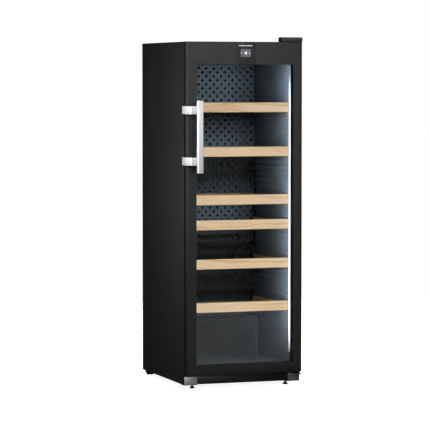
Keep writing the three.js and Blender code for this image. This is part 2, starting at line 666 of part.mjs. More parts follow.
// ---------------------------------------------------------------- handle: mounts, levers and a grip bar
/** Block on the door's side with two cheeks that hold the lever's pin. */
function handleMount(level) {
  const half = HANDLE.armHeight / 2;
  const base = block([-LEFT_REACH, -GAP], [10, 33], [level - half, level + half]);
  const cheek = (low, high) => block([-LEFT_REACH, -GAP], [1, 11], [low, high]);
  const pin = rod("z", [HANDLE.x, HANDLE.y], [level - half + 1, level + half - 1], KNUCKLE.pin, 12);
  return join(
    base,
    cheek(level + KNUCKLE.half + GAP, level + half),
    cheek(level - half, level - KNUCKLE.half - GAP),
    pin,
  );
}

/** Lever that leaves the knuckle, turns forward round the door's edge and carries the bar. */
function handleLever(level) {
  const half = HANDLE.armHeight / 2;
  const outline = [
    [-LEFT_REACH, -0.2],
    [-LEFT_REACH, -8],
    [8, -50],
    [11, -53],
    [15, -54],
    [40, -54],
    [40, -46],
    [19, -46],
    [15, -44],
    [-0.6, -6],
    [-0.6, -0.2],
  ];
  const arm = prism("z", outline, [level - half, level + half]);
  const reach = [level - KNUCKLE.half, level + KNUCKLE.half];
  const knuckle = rod("z", [HANDLE.x, HANDLE.y], reach, KNUCKLE.radius, 16);
  const neck = block([-LEFT_REACH + 0.4, -0.8], [-1, 5], reach);
  const bore = rod("z", [HANDLE.x, HANDLE.y], [level - 30, level + 30], KNUCKLE.bore, 16);
  return cut(join(arm, neck, knuckle), bore);
}

function handleBar() {
  const section = [
    [40.3, -46],
    [40.3, -55],
    [46, -61],
    [48.5, -FRONT_REACH],
    [66, -FRONT_REACH],
    [68, -60],
    [68, -47.5],
    [66.5, -46],
  ];
  return prism("z", section, [HANDLE.bottom, HANDLE.top]);
}

const levels = { lower: HANDLE.armLevels[0], upper: HANDLE.armLevels[1] };
for (const [name, level] of Object.entries(levels)) {
  place(door, `handle_mount_${name}`, handleMount(level), "satinAluminium");
  place(door, `handle_lever_${name}`, handleLever(level), "satinAluminium");
}
place(door, "handle_bar", handleBar(), "satinAluminium");

// ---------------------------------------------------------------- shelves
/** Board across the front with eased edges. */
function shelfFront(level) {
  const { front, thick, height, left, right, ease } = SHELF;
  const [low, high] = [level - height / 2, level + height / 2];
  const rear = front + thick;
  const outline = [
    [front, low + ease],
    [front + ease, low],
    [rear, low],
    [rear, high],
    [front + ease, high],
    [front, high - ease],
  ];
  return prism("x", outline, [left, right]);
}

/** Top of the highest liner rib that lies below a height. */
function ribBelow(height) {
  const steps = Math.floor((height - RIB.height / 2 - RIB.lowest) / RIB.pitch);
  return RIB.lowest + steps * RIB.pitch + RIB.height / 2;
}

/** Two side rails on pegs that ride on the liner's ribs, joined by slats or, on the fence, by a rear bar. */
function shelfDeck(level, open) {
  const start = SHELF.front + SHELF.thick + GAP;
  const railHeights = [level - RAIL.below, level + RAIL.above];
  const rails = [SHELF.left + RAIL.inset, SHELF.right - RAIL.inset - RAIL.width];
  const parts = rails.map((x) => block([x, x + RAIL.width], [start, SHELF.rear], railHeights));
  const pegBottom = ribBelow(level - PEG.height) + GAP;
  for (const y of PEG.depths) {
    const heights = [pegBottom, pegBottom + PEG.height];
    parts.push(block([SHELF.left - PEG.reach, rails[0] + 1], [y, y + PEG.size], heights));
    parts.push(block([rails[1] + RAIL.width - 1, SHELF.right + PEG.reach], [y, y + PEG.size], heights));
  }
  const across = rails.map((x) => x + RAIL.width / 2);
  if (open) return join(...parts, block(across, [SHELF.rear - SHELF.thick, SHELF.rear], railHeights));
  const first = start + SLAT.margin;
  const step = (SHELF.rear - first - SLAT.depth - SLAT.margin) / (SLAT.count - 1);
  for (let i = 0; i < SLAT.count; i += 1) {
    const near = first + i * step;
    parts.push(block(across, [near, near + SLAT.depth], [level - SHELF.height / 2, level + SLAT.above]));
  }
  return join(...parts);
}

SHELF_LEVELS.forEach((level, index) => {
  const number = index + 1;
  const open = number === BOTTLE_FENCE;
  place(shelves, `shelf_${number}_front`, shelfFront(level), "beech");
  place(shelves, `shelf_${number}_${open ? "frame" : "deck"}`, shelfDeck(level, open), "beech");
});

cooler.position.set(-(WIDTH - LEFT_REACH) / 2, (FRONT_REACH - REAR) / 2, 0);

export default cooler;
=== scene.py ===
"""Looks of the wine cooler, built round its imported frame.

Each sub-assembly is a class: its fields are its sizes in millimetres, measured from the lower left
front corner of the door (X right, Y back, Z up), and its build method makes the pieces, dresses them
and hangs them on their bodies.
"""

import json
import logging
import math
from collections.abc import Callable, Iterable, Sequence
from dataclasses import dataclass, field
from enum import Enum

import bmesh
import bpy
from mathutils import Matrix, Vector

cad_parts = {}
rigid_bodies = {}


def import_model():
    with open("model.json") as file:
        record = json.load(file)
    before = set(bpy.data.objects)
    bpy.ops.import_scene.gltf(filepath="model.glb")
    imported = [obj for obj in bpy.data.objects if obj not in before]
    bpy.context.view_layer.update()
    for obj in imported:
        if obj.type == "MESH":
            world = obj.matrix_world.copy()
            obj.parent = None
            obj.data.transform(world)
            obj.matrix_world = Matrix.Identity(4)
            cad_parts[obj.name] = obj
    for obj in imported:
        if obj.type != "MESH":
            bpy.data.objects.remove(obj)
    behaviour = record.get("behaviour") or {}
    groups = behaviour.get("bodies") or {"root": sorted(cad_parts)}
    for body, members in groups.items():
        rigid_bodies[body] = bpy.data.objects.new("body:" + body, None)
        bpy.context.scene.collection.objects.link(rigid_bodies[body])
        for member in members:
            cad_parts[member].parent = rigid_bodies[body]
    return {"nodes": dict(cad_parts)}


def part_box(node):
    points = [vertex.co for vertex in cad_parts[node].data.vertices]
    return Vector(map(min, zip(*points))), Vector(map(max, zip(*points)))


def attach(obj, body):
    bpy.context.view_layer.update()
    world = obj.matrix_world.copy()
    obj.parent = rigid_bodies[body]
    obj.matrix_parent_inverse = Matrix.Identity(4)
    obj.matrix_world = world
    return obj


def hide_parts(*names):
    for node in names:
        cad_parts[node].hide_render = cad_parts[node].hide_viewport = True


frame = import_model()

log = logging.getLogger("wine_cooler")
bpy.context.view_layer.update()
MM = 0.001
NEAR = 0.1  # millimetres within which a point counts as lying on a line or a face
Point = tuple[float, float, float]
Span = tuple[float, float]
Colour = tuple[float, float, float]
Socket = bpy.types.NodeSocket


class Axis(Enum):
    """Main directions, each with the turn that brings +Z onto it."""

    X = Matrix.Rotation(math.pi / 2, 4, "Y")
    Y = Matrix.Rotation(-math.pi / 2, 4, "X")
    Z = Matrix.Identity(4)

    @property
    def direction(self) -> Vector:
        """Unit vector along the axis."""
        return (self.value @ Vector((0, 0, 1))).normalized()


class Standing(Enum):
    """Moving bodies that the cooler stands on."""

    FOOT_LEFT = "foot_left"
    FOOT_RIGHT = "foot_right"
    ROLLER_LEFT = "roller_left"
    ROLLER_RIGHT = "roller_right"


@dataclass(frozen=True)
class Datum:
    """Corner of the door that the millimetre sizes are measured from."""

    left: float
    front: float

    @classmethod
    def from_frame(cls) -> "Datum":
        """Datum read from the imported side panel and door."""
        return cls(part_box("left_side_panel")[0].x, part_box("door_frame")[0].y)

    @property
    def matrix(self) -> Matrix:
        """Takes millimetres from the datum to metres in the shared frame."""
        return Matrix.Translation((self.left, self.front, 0)) @ Matrix.Scale(MM, 4)


DATUM = Datum.from_frame()


# ------------------------------------------------------------------ shader graphs
class Graph:
    """Shader nodes of one material, laid out on Object coordinates."""

    def __init__(self, name: str) -> None:
        """Starts a material with a bare Principled shader.

        Args:
            name: the material's name.
        """
        self.material = bpy.data.materials.new(name)
        self.material.use_nodes = True
        self.tree = self.material.node_tree
        self.shader = self.tree.nodes["Principled BSDF"]
        self.place = self.tree.nodes.new("ShaderNodeTexCoord").outputs["Object"]

    def node(self, kind: str, inputs: dict[str | int, object], **settings: object) -> bpy.types.Node:
        """Adds a node.

        Args:
            kind: the node's type name.
            inputs: sockets by name or number, each with a value or with a socket to link from.
            settings: properties set on the node first.

        Returns:
            The new node.
        """
        made = self.tree.nodes.new(kind)
        for key, value in settings.items():
            setattr(made, key, value)
        for key, value in inputs.items():
            self.feed(made.inputs[key], value)
        return made

    def feed(self, socket: Socket, value: object) -> None:
        """Sets a socket to a value, or links it where the value is a socket."""
        if isinstance(value, Socket):
            self.tree.links.new(value, socket)
        elif socket.type == "RGBA" and len(value) == 3:
            socket.default_value = (*value, 1.0)
        else:
            socket.default_value = value

    def set(self, **values: object) -> None:
        """Sets shader sockets, named in lower case with underscores for spaces."""
        names = {s.name.lower().replace(" ", "_"): s for s in self.shader.inputs}
        for key, value in values.items():
            self.feed(names[key], value)

    def mapped(self, scale: Point, turn: Point = (0.0, 0.0, 0.0), shift: Point = (0.0, 0.0, 0.0)) -> Socket:
        """Object coordinates stretched, turned and shifted.

        Args:
            scale: factor along each axis.
            turn: turn about each axis, in radians.
            shift: offset along each axis.

        Returns:
            The vector socket.
        """
        inputs = {"Vector": self.place, "Scale": scale, "Rotation": turn, "Location": shift}
        return self.node("ShaderNodeMapping", inputs).outputs[0]

    def noise(self, scale: float, detail: float = 3.0, rough: float = 0.5, vector: object = None) -> Socket:
        """Soft noise from 0 to 1.

        Args:
            scale: how many waves to a metre.
            detail: octaves.
            rough: strength of the finer octaves.
            vector: where to read it, or None for Object coordinates.

        Returns:
            The value socket.
        """
        inputs = {"Vector": vector or self.place, "Scale": scale, "Detail": detail, "Roughness": rough}
        return self.node("ShaderNodeTexNoise", inputs).outputs["Fac"]

    def cells(self, scale: float, output: str = "Distance", vector: object = None) -> Socket:
        """Cell pattern: distance to each cell's middle, or its random colour."""
        made = self.node("ShaderNodeTexVoronoi", {"Vector": vector or self.place, "Scale": scale})
        return made.outputs[output]

    def ramp(self, fac: Socket, stops: Sequence[tuple[float, Colour]]) -> Socket:
        """Colours along a value.

        Args:
            fac: the value.
            stops: places from 0 to 1 with their colours, at least two.

        Returns:
            The colour socket.
        """
        made = self.node("ShaderNodeValToRGB", {"Fac": fac})
        ramp = made.color_ramp
        while len(ramp.elements) < len(stops):
            ramp.elements.new(0.5)
        for element, (place, colour) in zip(ramp.elements, stops):
            element.position = place
            element.color = (*colour, 1.0)
        return made.outputs["Color"]

    def levels(self, fac: Socket, low: float, high: float, start: float = 0.0, end: float = 1.0) -> Socket:
        """Maps a value from start..end to low..high, clamped."""
        inputs = {"Value": fac, "From Min": start, "From Max": end, "To Min": low, "To Max": high}
        return self.node("ShaderNodeMapRange", inputs).outputs["Result"]

    def blend(self, fac: object, first: object, second: object, mode: str = "MIX") -> Socket:
        """Mixes two colours.

        Args:
            fac: how much of the second.
            first: colour or socket.
            second: colour or socket.
            mode: blend type.

        Returns:
            The colour socket.
        """
        made = self.tree.nodes.new("ShaderNodeMix")
        made.data_type = "RGBA"
        made.blend_type = mode
        for number, value in ((0, fac), (6, first), (7, second)):
            self.feed(made.inputs[number], value)
        return made.outputs[2]

    def maths(self, operation: str, first: object, second: object) -> Socket:
        """One Math node's result."""
        return self.node("ShaderNodeMath", {0: first, 1: second}, operation=operation).outputs[0]

    def relief(self, height: Socket, depth: float, strength: float = 1.0, under: object = None) -> Socket:
        """Bump from a height.

        Args:
            height: value from 0 to 1.
            depth: its full height in metres.
            strength: how much of it shows.
            under: normal of a coarser relief below it.

        Returns:
            The normal socket.
        """
        inputs = {"Height": height, "Distance": depth, "Strength": strength}
        if under is not None:
            inputs["Normal"] = under
        return self.node("ShaderNodeBump", inputs).outputs[0]


# ------------------------------------------------------------------ finishes
@dataclass(frozen=True)
class Finish:
    """A surface finish; each kind writes its own shader graph."""

    name: str

    def make(self) -> bpy.types.Material:
        """Builds the material, or returns it where it exists."""
        known = bpy.data.materials.get(self.name)
        if known is not None:
            return known
        graph = Graph(self.name)
        self.write(graph)
        return graph.material

    def write(self, graph: Graph) -> None:
        """Writes the shader graph."""
        raise NotImplementedError


@dataclass(frozen=True)
class PowderCoat(Finish):
    """Baked powder paint: fine orange peel, faint cloudiness and a little dust."""

    colour: Colour
    dust: Colour
    roughness: Span = (0.36, 0.48)
    specular: float = 0.3
    peel: float = 0.00003

    def write(self, graph: Graph) -> None:
        """Writes the shader graph."""
        cloud = graph.noise(2.2, 4.0, 0.55)
        speck = graph.noise(900.0, 2.0, 0.6)
        tone = graph.blend(graph.levels(cloud, 0.0, 0.55, 0.35, 0.7), self.colour, self.dust)
        fine = graph.levels(speck, 0.88, 1.12, 0.3, 0.7)
        shade = graph.node("ShaderNodeCombineColor", {0: fine, 1: fine, 2: fine}).outputs[0]
        wavy = graph.relief(graph.noise(320.0, 2.0), self.peel * 3, 0.5)
        graph.set(
            base_color=graph.blend(1.0, tone, shade, "MULTIPLY"),
            roughness=graph.levels(cloud, *self.roughness, 0.3, 0.7),
            specular_ior_level=self.specular,
            normal=graph.relief(speck, self.peel, 0.6, wavy),
        )


@dataclass(frozen=True)
class Brushed(Finish):
    """Brushed metal with fine scratches along one axis."""

    colour: Colour
    grain: Axis = Axis.Z
    roughness: Span = (0.22, 0.4)
    depth: float = 0.00002
    metallic: float = 1.0

    def write(self, graph: Graph) -> None:
        """Writes the shader graph."""
        along = self.grain.direction
        stretch = tuple(30.0 if abs(v) > 0.5 else 2600.0 for v in along)
        scratch = graph.noise(1.0, 3.0, 0.65, graph.mapped(stretch))
        broad = tuple(4.0 if abs(v) > 0.5 else 420.0 for v in along)
        streak = graph.noise(1.0, 2.0, 0.5, graph.mapped(broad))
        darker = tuple(v * 0.88 for v in self.colour)
        graph.set(
            base_color=graph.ramp(streak, [(0.3, darker), (0.62, self.colour)]),
            metallic=self.metallic,
            roughness=graph.levels(scratch, *self.roughness, 0.3, 0.7),
            normal=graph.relief(scratch, self.depth, 0.45),
        )


@dataclass(frozen=True)
class Galvanised(Finish):
    """Zinc-coated sheet with its crystal spangle."""

    colour: Colour = (0.46, 0.47, 0.48)
    spangle: float = 90.0

    def write(self, graph: Graph) -> None:
        """Writes the shader graph."""
        crystal = graph.cells(self.spangle, "Color")
        tone = graph.node("ShaderNodeSeparateColor", {0: crystal}).outputs[0]
        smear = graph.noise(6.0, 5.0, 0.6)
        bright = tuple(v * 1.18 for v in self.colour)
        dull = tuple(v * 0.74 for v in self.colour)
        metal = graph.ramp(tone, [(0.1, dull), (0.5, self.colour), (0.9, bright)])
        graph.set(
            base_color=graph.blend(graph.levels(smear, 0.0, 0.35, 0.45, 0.7), metal, dull),
            metallic=0.85,
            roughness=graph.levels(tone, 0.34, 0.52),
            normal=graph.relief(graph.noise(260.0, 3.0), 0.00005, 0.35),
        )


@dataclass(frozen=True)
class Moulded(Finish):
    """Moulded plastic or rubber: spark-eroded grain and uneven sheen."""

    colour: Colour
    roughness: Span = (0.42, 0.58)
    grain: float = 1100.0
    depth: float = 0.00005
    specular: float = 0.4

    def write(self, graph: Graph) -> None:
        """Writes the shader graph."""
        pits = graph.noise(self.grain, 3.0, 0.6)
        flow = graph.noise(9.0, 3.0, 0.5)
        lighter = tuple(v * 1.35 + 0.002 for v in self.colour)
        graph.set(
            base_color=graph.ramp(flow, [(0.32, self.colour), (0.72, lighter)]),
            roughness=graph.levels(pits, *self.roughness, 0.3, 0.7),
            specular_ior_level=self.specular,
            normal=graph.relief(pits, self.depth, 0.5),
        )


@dataclass(frozen=True)
class Beech(Finish):
    """Oiled beech: long grain along X, short pores and slow colour change from board to board."""

    pale: Colour = (0.87, 0.60, 0.375)
    warm: Colour = (0.69, 0.42, 0.235)
    pore: Colour = (0.46, 0.29, 0.16)

    def write(self, graph: Graph) -> None:
        """Writes the shader graph."""
        sway = graph.noise(1.0, 2.0, 0.5, graph.mapped((2.4, 5.0, 5.0)))
        rings = graph.mapped((1.5, 60.0, 60.0))
        lift = graph.node("ShaderNodeCombineXYZ", {2: graph.maths("MULTIPLY", sway, 7.0)}).outputs[0]
        bent = graph.node("ShaderNodeVectorMath", {0: rings, 1: lift}, operation="ADD").outputs[0]
        bands = graph.noise(1.0, 4.0, 0.55, bent)
        fibre = graph.noise(1.0, 3.0, 0.7, graph.mapped((14.0, 900.0, 900.0)))
        fleck = graph.cells(1.0, "Distance", graph.mapped((120.0, 1500.0, 1500.0)))
        late = tuple(v * 0.9 for v in self.pale)
        board = graph.ramp(bands, [(0.36, self.warm), (0.5, self.pale), (0.64, late)])
        thread = graph.blend(graph.levels(fibre, 0.0, 0.5, 0.45, 0.75), board, self.warm)
        graph.set(
            base_color=graph.blend(graph.levels(fleck, 0.3, 0.0, 0.05, 0.2), thread, self.pore),
            roughness=graph.levels(fibre, 0.48, 0.66, 0.3, 0.7),
            specular_ior_level=0.35,
            normal=graph.relief(fibre, 0.00006, 0.5),
        )


@dataclass(frozen=True)
class ClearGlass(Finish):
    """Coated pane: clear, faintly tinted, and it lets lamps through."""

    tint: Colour = (0.96, 0.98, 0.985)
    index: float = 1.15

    def write(self, graph: Graph) -> None:
        """Writes the shader graph."""
        smear = graph.noise(7.0, 4.0, 0.6)
        clouded = tuple(v * 0.985 for v in self.tint)
        graph.set(
            base_color=graph.ramp(smear, [(0.45, self.tint), (0.8, clouded)]),
            roughness=0.0,
            transmission_weight=1.0,
            ior=self.index,
        )
        out = graph.tree.nodes["Material Output"]
        clear = graph.node("ShaderNodeBsdfTransparent", {"Color": self.tint})
        lamp = graph.tree.nodes.new("ShaderNodeLightPath").outputs["Is Shadow Ray"]
        mix = graph.node("ShaderNodeMixShader", {0: lamp, 1: graph.shader.outputs[0], 2: clear.outputs[0]})
        graph.feed(out.inputs["Surface"], mix.outputs[0])


@dataclass(frozen=True)
class Foam(Finish):
    """Rigid foam as cut: small bubbles and an aged, uneven yellow."""

    def write(self, graph: Graph) -> None:
        """Writes the shader graph."""
        bubble = graph.cells(700.0)
        aged = graph.noise(12.0, 4.0, 0.6)
        graph.set(
            base_color=graph.ramp(aged, [(0.3, (0.52, 0.40, 0.17)), (0.7, (0.74, 0.64, 0.34))]),
            roughness=graph.levels(bubble, 0.85, 1.0),
            normal=graph.relief(bubble, 0.0004, 0.7),
        )


@dataclass(frozen=True)
class LampCover(Finish):
    """Light bar: an opal face whose lamps fade out towards both ends, and a dark front edge."""

    bottom: float
    top: float
    fade: float
    front: float
    strength: float = 2.2

    def write(self, graph: Graph) -> None:
        """Writes the shader graph."""
        split = graph.node("ShaderNodeSeparateXYZ", {0: graph.place})
        depth, height = split.outputs[1], split.outputs[2]
        rise = graph.levels(height, 0.0, 1.0, self.bottom, self.bottom + self.fade)
        fall = graph.levels(height, 1.0, 0.0, self.top - self.fade, self.top)
        opal = graph.levels(depth, 0.0, 1.0, self.front, self.front + 0.0004)
        lamps = graph.levels(graph.noise(60.0, 1.0), 0.92, 1.0, 0.3, 0.7)
        lit = graph.maths("MULTIPLY", rise, fall)
        glow = graph.maths("MULTIPLY", lit, graph.maths("MULTIPLY", lamps, opal))
        graph.set(
            base_color=graph.blend(opal, (0.008, 0.008, 0.009), (0.80, 0.82, 0.85)),
            roughness=graph.levels(graph.noise(500.0, 2.0), 0.3, 0.42),
            emission_color=(0.9, 0.95, 1.0),
            emission_strength=graph.maths("MULTIPLY", glow, self.strength),
        )


@dataclass(frozen=True)
class LiquidCrystal(Finish):
    """Back-lit grey screen with its fine lattice, or the lit marks on it."""

    colour: Colour
    glow: float

    def write(self, graph: Graph) -> None:
        """Writes the shader graph."""
        lattice = graph.cells(2500.0)
        tone = graph.noise(25.0, 2.0)
        edge = tuple(v * 0.82 for v in self.colour)
        graph.set(
            base_color=graph.ramp(tone, [(0.3, edge), (0.7, self.colour)]),
            roughness=graph.levels(lattice, 0.2, 0.32),
            emission_color=self.colour,
            emission_strength=self.glow,
            coat_weight=0.6,
            coat_roughness=0.05,
        )


@dataclass(frozen=True)
class Copper(Finish):
    """Drawn copper tube, darkened in patches."""

    bright: Colour = (0.72, 0.33, 0.19)
    tarnish: Colour = (0.26, 0.12, 0.07)

    def write(self, graph: Graph) -> None:
        """Writes the shader graph."""
        patch = graph.noise(22.0, 5.0, 0.6)
        drawn = graph.noise(1.0, 2.0, 0.5, graph.mapped((600.0, 600.0, 40.0)))
        graph.set(
            base_color=graph.ramp(patch, [(0.35, self.tarnish), (0.6, self.bright)]),
            metallic=1.0,
            roughness=graph.levels(drawn, 0.25, 0.45, 0.3, 0.7),
            normal=graph.relief(drawn, 0.00003, 0.4),
        )


@dataclass(frozen=True)
class Finishes:
    """Every finish on the wine cooler."""

    side_coat: Finish = PowderCoat("black_powder_coat", (0.0060, 0.0062, 0.0068), (0.0085, 0.0088, 0.0095))
    door_coat: Finish = PowderCoat(
        "black_door_coat", (0.0062, 0.0063, 0.0066), (0.0082, 0.0083, 0.0086), roughness=(0.34, 0.44)
    )
    edge_paint: Finish = PowderCoat(
        "black_frame_paint", (0.006, 0.006, 0.0065), (0.009, 0.009, 0.0095), (0.3, 0.4), specular=0.35
    )
    handle_metal: Finish = Brushed(
        "satin_handle_metal", (0.78, 0.79, 0.81), Axis.Z, (0.34, 0.48), metallic=0.4
    )
    arm_metal: Finish = Brushed("satin_arm_metal", (0.80, 0.805, 0.815), Axis.Y, (0.34, 0.48), metallic=0.4)
    bracket_steel: Finish = Brushed(
        "zinc_bracket_steel", (0.17, 0.175, 0.18), Axis.X, (0.3, 0.5), depth=0.00004, metallic=0.45
    )
    hinge_steel: Finish = Brushed(
        "zinc_hinge_steel", (0.075, 0.077, 0.08), Axis.X, (0.3, 0.5), depth=0.00004, metallic=0.45
    )
    pin_steel: Finish = Brushed("turned_pin_steel", (0.62, 0.63, 0.64), Axis.X, (0.18, 0.3))
    fin_metal: Finish = Brushed("coil_fin_aluminium", (0.66, 0.67, 0.68), Axis.Z, (0.28, 0.45))
    sheet_metal: Finish = Galvanised("galvanised_sheet")
    liner: Finish = Moulded("graphite_liner", (0.046, 0.053, 0.062), (0.34, 0.5), 500.0, 0.00005, 0.4)
    duct: Finish = PowderCoat(
        "slate_duct_coat", (0.052, 0.064, 0.074), (0.062, 0.074, 0.084), roughness=(0.4, 0.52), specular=0.35
    )
    black_plastic: Finish = Moulded("black_moulding", (0.010, 0.010, 0.011))
    cap_plastic: Finish = Moulded("black_cap_moulding", (0.013, 0.013, 0.0135), (0.3, 0.42), 900.0)
    gasket_rubber: Finish = Moulded("gasket_rubber", (0.012, 0.012, 0.0125), (0.6, 0.78), 700.0, 0.00004, 0.3)
    foot_plastic: Finish = Moulded("foot_moulding", (0.008, 0.008, 0.008), (0.45, 0.6), 800.0)
    tread: Finish = Moulded("roller_tread", (0.014, 0.014, 0.015), (0.62, 0.8), 600.0)
    panel_gloss: Finish = Moulded(
        "control_strip_gloss", (0.0085, 0.0085, 0.0092), (0.24, 0.3), 1500.0, depth=0.00001, specular=0.35
    )
    spacer: Finish = Moulded("pane_spacer_black", (0.004, 0.004, 0.0045), (0.5, 0.7), 1200.0, 0.00002, 0.2)
    print_grey: Finish = Moulded("printed_grey", (0.055, 0.057, 0.06), (0.4, 0.5), 2000.0, 0.00001)
    enamel: Finish = PowderCoat(
        "compressor_enamel", (0.008, 0.008, 0.008), (0.02, 0.02, 0.019), (0.16, 0.3), 0.5, peel=0.00006
    )
    screen: Finish = LiquidCrystal("screen_grey", (0.13, 0.138, 0.148), 0.35)
    digit: Finish = LiquidCrystal("screen_digit", (0.88, 0.9, 0.92), 0.95)
    glass: Finish = ClearGlass("clear_pane")
    foam: Finish = Foam("rigid_foam")
    copper: Finish = Copper("copper_tube")
    wood: Finish = Beech("oiled_beech")
    lamp: Finish = LampCover("opal_lamp_cover", bottom=0.166, top=1.518, fade=0.09, front=-0.2758)


FINISH = Finishes()


# ------------------------------------------------------------------ modelling in millimetres
class Part:
    """One piece under construction, in millimetres from the datum."""

    def __init__(self) -> None:
        """Starts an empty mesh."""
        self.bm = bmesh.new()

    @classmethod
    def from_node(cls, node: str) -> "Part":
        """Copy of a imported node, with its loose triangles merged and its flat faces joined."""
        part = cls()
        part.bm.from_mesh(frame["nodes"][node].data)
        bmesh.ops.transform(part.bm, matrix=DATUM.matrix.inverted(), verts=part.bm.verts)
        bmesh.ops.remove_doubles(part.bm, verts=part.bm.verts, dist=0.01)
        flat = math.radians(0.5)
        bmesh.ops.dissolve_limit(
            part.bm, angle_limit=flat, verts=part.bm.verts, edges=part.bm.edges, delimit={"NORMAL"}
        )
        return part

    def box(self, x: Span, y: Span, z: Span, ease: float = 0.0, segments: int = 2) -> "Part":
        """Adds a box.

        Args:
            x: from and to along X.
            y: from and to along Y.
            z: from and to along Z.
            ease: width of the bevel on its edges, 0 for none.
            segments: steps in the bevel.

        Returns:
            The part.
        """
        size = Vector((x[1] - x[0], y[1] - y[0], z[1] - z[0]))
        middle = Vector((sum(x) / 2, sum(y) / 2, sum(z) / 2))
        cube = Matrix.Translation(middle) @ Matrix.Diagonal((*size, 1))
        made = bmesh.ops.create_cube(self.bm, size=1.0, matrix=cube)
        if ease:
            self.bevel_edges({e for v in made["verts"] for e in v.link_edges}, ease, segments)
        return self

    def outline(self, points: Sequence[Point], push: Point, ease: float = 0.0, segments: int = 2) -> "Part":
        """Adds a flat outline pushed into a solid.

        Args:
            points: the outline's corners.
            push: how far and which way it is extruded.
            ease: width of the bevel on its edges, 0 for none.
            segments: steps in the bevel.

        Returns:
            The part.
        """
        verts = [self.bm.verts.new(p) for p in points]
        base = self.bm.faces.new(verts)
        made = bmesh.ops.extrude_face_region(self.bm, geom=[base], use_keep_orig=True)
        moved = [v for v in made["geom"] if isinstance(v, bmesh.types.BMVert)]
        bmesh.ops.translate(self.bm, vec=push, verts=moved)
        shell = {f for v in verts + moved for f in v.link_faces}
        bmesh.ops.recalc_face_normals(self.bm, faces=list(shell))
        if ease:
            self.bevel_edges({e for f in shell for e in f.edges}, ease, segments)
        return self

    def rod(
        self, axis: Axis, middle: Point, length: float, radius: float, segments: int = 32, ease: float = 0.0
    ) -> "Part":
        """Adds a round bar.

        Args:
            axis: its direction.
            middle: its centre.
            length: its length.
            radius: its radius.
            segments: sides.
            ease: width of the bevel round both ends.

        Returns:
            The part.
        """
        made = bmesh.ops.create_cone(
            self.bm,
            cap_ends=True,
            segments=segments,
            radius1=radius,
            radius2=radius,
            depth=length,
            matrix=Matrix.Translation(middle) @ axis.value,
        )
        if ease:
            ends = {e for v in made["verts"] for f in v.link_faces if len(f.edges) > 4 for e in f.edges}
            self.bevel_edges(ends, ease, 2)
        return self

    def turned(
        self, axis: Axis, foot: Point, profile: Sequence[tuple[float, float]], segments: int = 40
    ) -> "Part":
        """Adds a turned solid.

        Args:
            axis: the axis of the lathe.
            foot: the point on it that heights are measured from.
            profile: (radius, height) points, the first and last on the axis or both off it for a ring.
            segments: sides.

        Returns:
            The part.
        """
        turn = Matrix.Translation(foot) @ axis.value
        verts = [self.bm.verts.new(turn @ Vector((r, 0, h))) for r, h in profile]
        pairs = list(zip(verts, verts[1:]))
        if profile[0][0] > 0:
            pairs.append((verts[-1], verts[0]))
        edges = [self.bm.edges.new(pair) for pair in pairs]
        bmesh.ops.spin(
            self.bm,
            geom=verts + edges,
            cent=foot,
            axis=axis.direction,
            angle=2 * math.pi,
            steps=segments,
            use_merge=True,
        )
        bmesh.ops.remove_doubles(self.bm, verts=[v for v in self.bm.verts if v.is_valid], dist=0.002)
        self.outward()
        return self

    def pipe(self, route: Sequence[Point], radius: float, bend: float, segments: int = 12) -> "Part":
        """Adds a tube along straight runs with round bends.

        Args:
            route: its corners, each run parallel to a main axis.
            radius: the tube's radius.
            bend: radius of the bends at its middle line.
            segments: sides.

        Returns:
            The part.
        """
        stops = [Vector(p) for p in route]
        runs = [(b - a) for a, b in zip(stops, stops[1:])]
        facing = runs[0].normalized().to_track_quat("Z", "Y").to_matrix().to_4x4()
        mouth = Matrix.Translation(stops[0]) @ facing
        made = bmesh.ops.create_circle(self.bm, cap_ends=True, segments=segments, radius=radius, matrix=mouth)
        ring = list({e for v in made["verts"] for e in v.link_edges})
        for number, run in enumerate(runs):
            along = run.normalized()
            short = (bend if number else 0.0) + (bend if number < len(runs) - 1 else 0.0)
            grown = bmesh.ops.extrude_edge_only(self.bm, edges=ring)["geom"]
            moved = [v for v in grown if isinstance(v, bmesh.types.BMVert)]
            bmesh.ops.translate(self.bm, vec=along * (run.length - short), verts=moved)
            ring = [e for e in grown if isinstance(e, bmesh.types.BMEdge)]
            if number == len(runs) - 1:
                continue
            onward = runs[number + 1].normalized()
            centre = stops[number + 1] - along * bend + onward * bend
            verts = list({v for e in ring for v in e.verts})
            swept = bmesh.ops.spin(
                self.bm, geom=verts + ring, cent=centre, axis=along.cross(onward), angle=math.pi / 2, steps=6
            )["geom_last"]
            ring = [e for e in swept if isinstance(e, bmesh.types.BMEdge)]
        bmesh.ops.edgeloop_fill(self.bm, edges=ring)
        self.outward()
        return self

    def rings(self, loops: Sequence[tuple[float, float, float, float, float]]) -> "Part":
        """Adds a rectangular frame swept through a closed section.

        Args:
            loops: (left, right, bottom, top, depth) of the section's corners, in order round it.

        Returns:
            The part.
        """
        corners = [
            [Vector((left, depth, bottom)), Vector((right, depth, bottom)), Vector((right, depth, top)),
             Vector((left, depth, top))]
            for left, right, bottom, top, depth in loops
        ]
        verts = [self.bm.verts.new(c) for c in corners[0]]
        wire = [self.bm.edges.new((verts[i], verts[(i + 1) % 4])) for i in range(4)]
        swept = list(verts)
        for here, onward in zip(corners, corners[1:] + corners[:1]):
            grown = bmesh.ops.extrude_edge_only(self.bm, edges=wire)["geom"]
            wire = [g for g in grown if isinstance(g, bmesh.types.BMEdge)]
            moved = [g for g in grown if isinstance(g, bmesh.types.BMVert)]
            for vert in moved:
                nearest = min(range(4), key=lambda i: (vert.co - here[i]).length)
                vert.co = onward[nearest]
            swept += moved
        bmesh.ops.remove_doubles(self.bm, verts=swept, dist=0.001)
        self.outward()
        return self

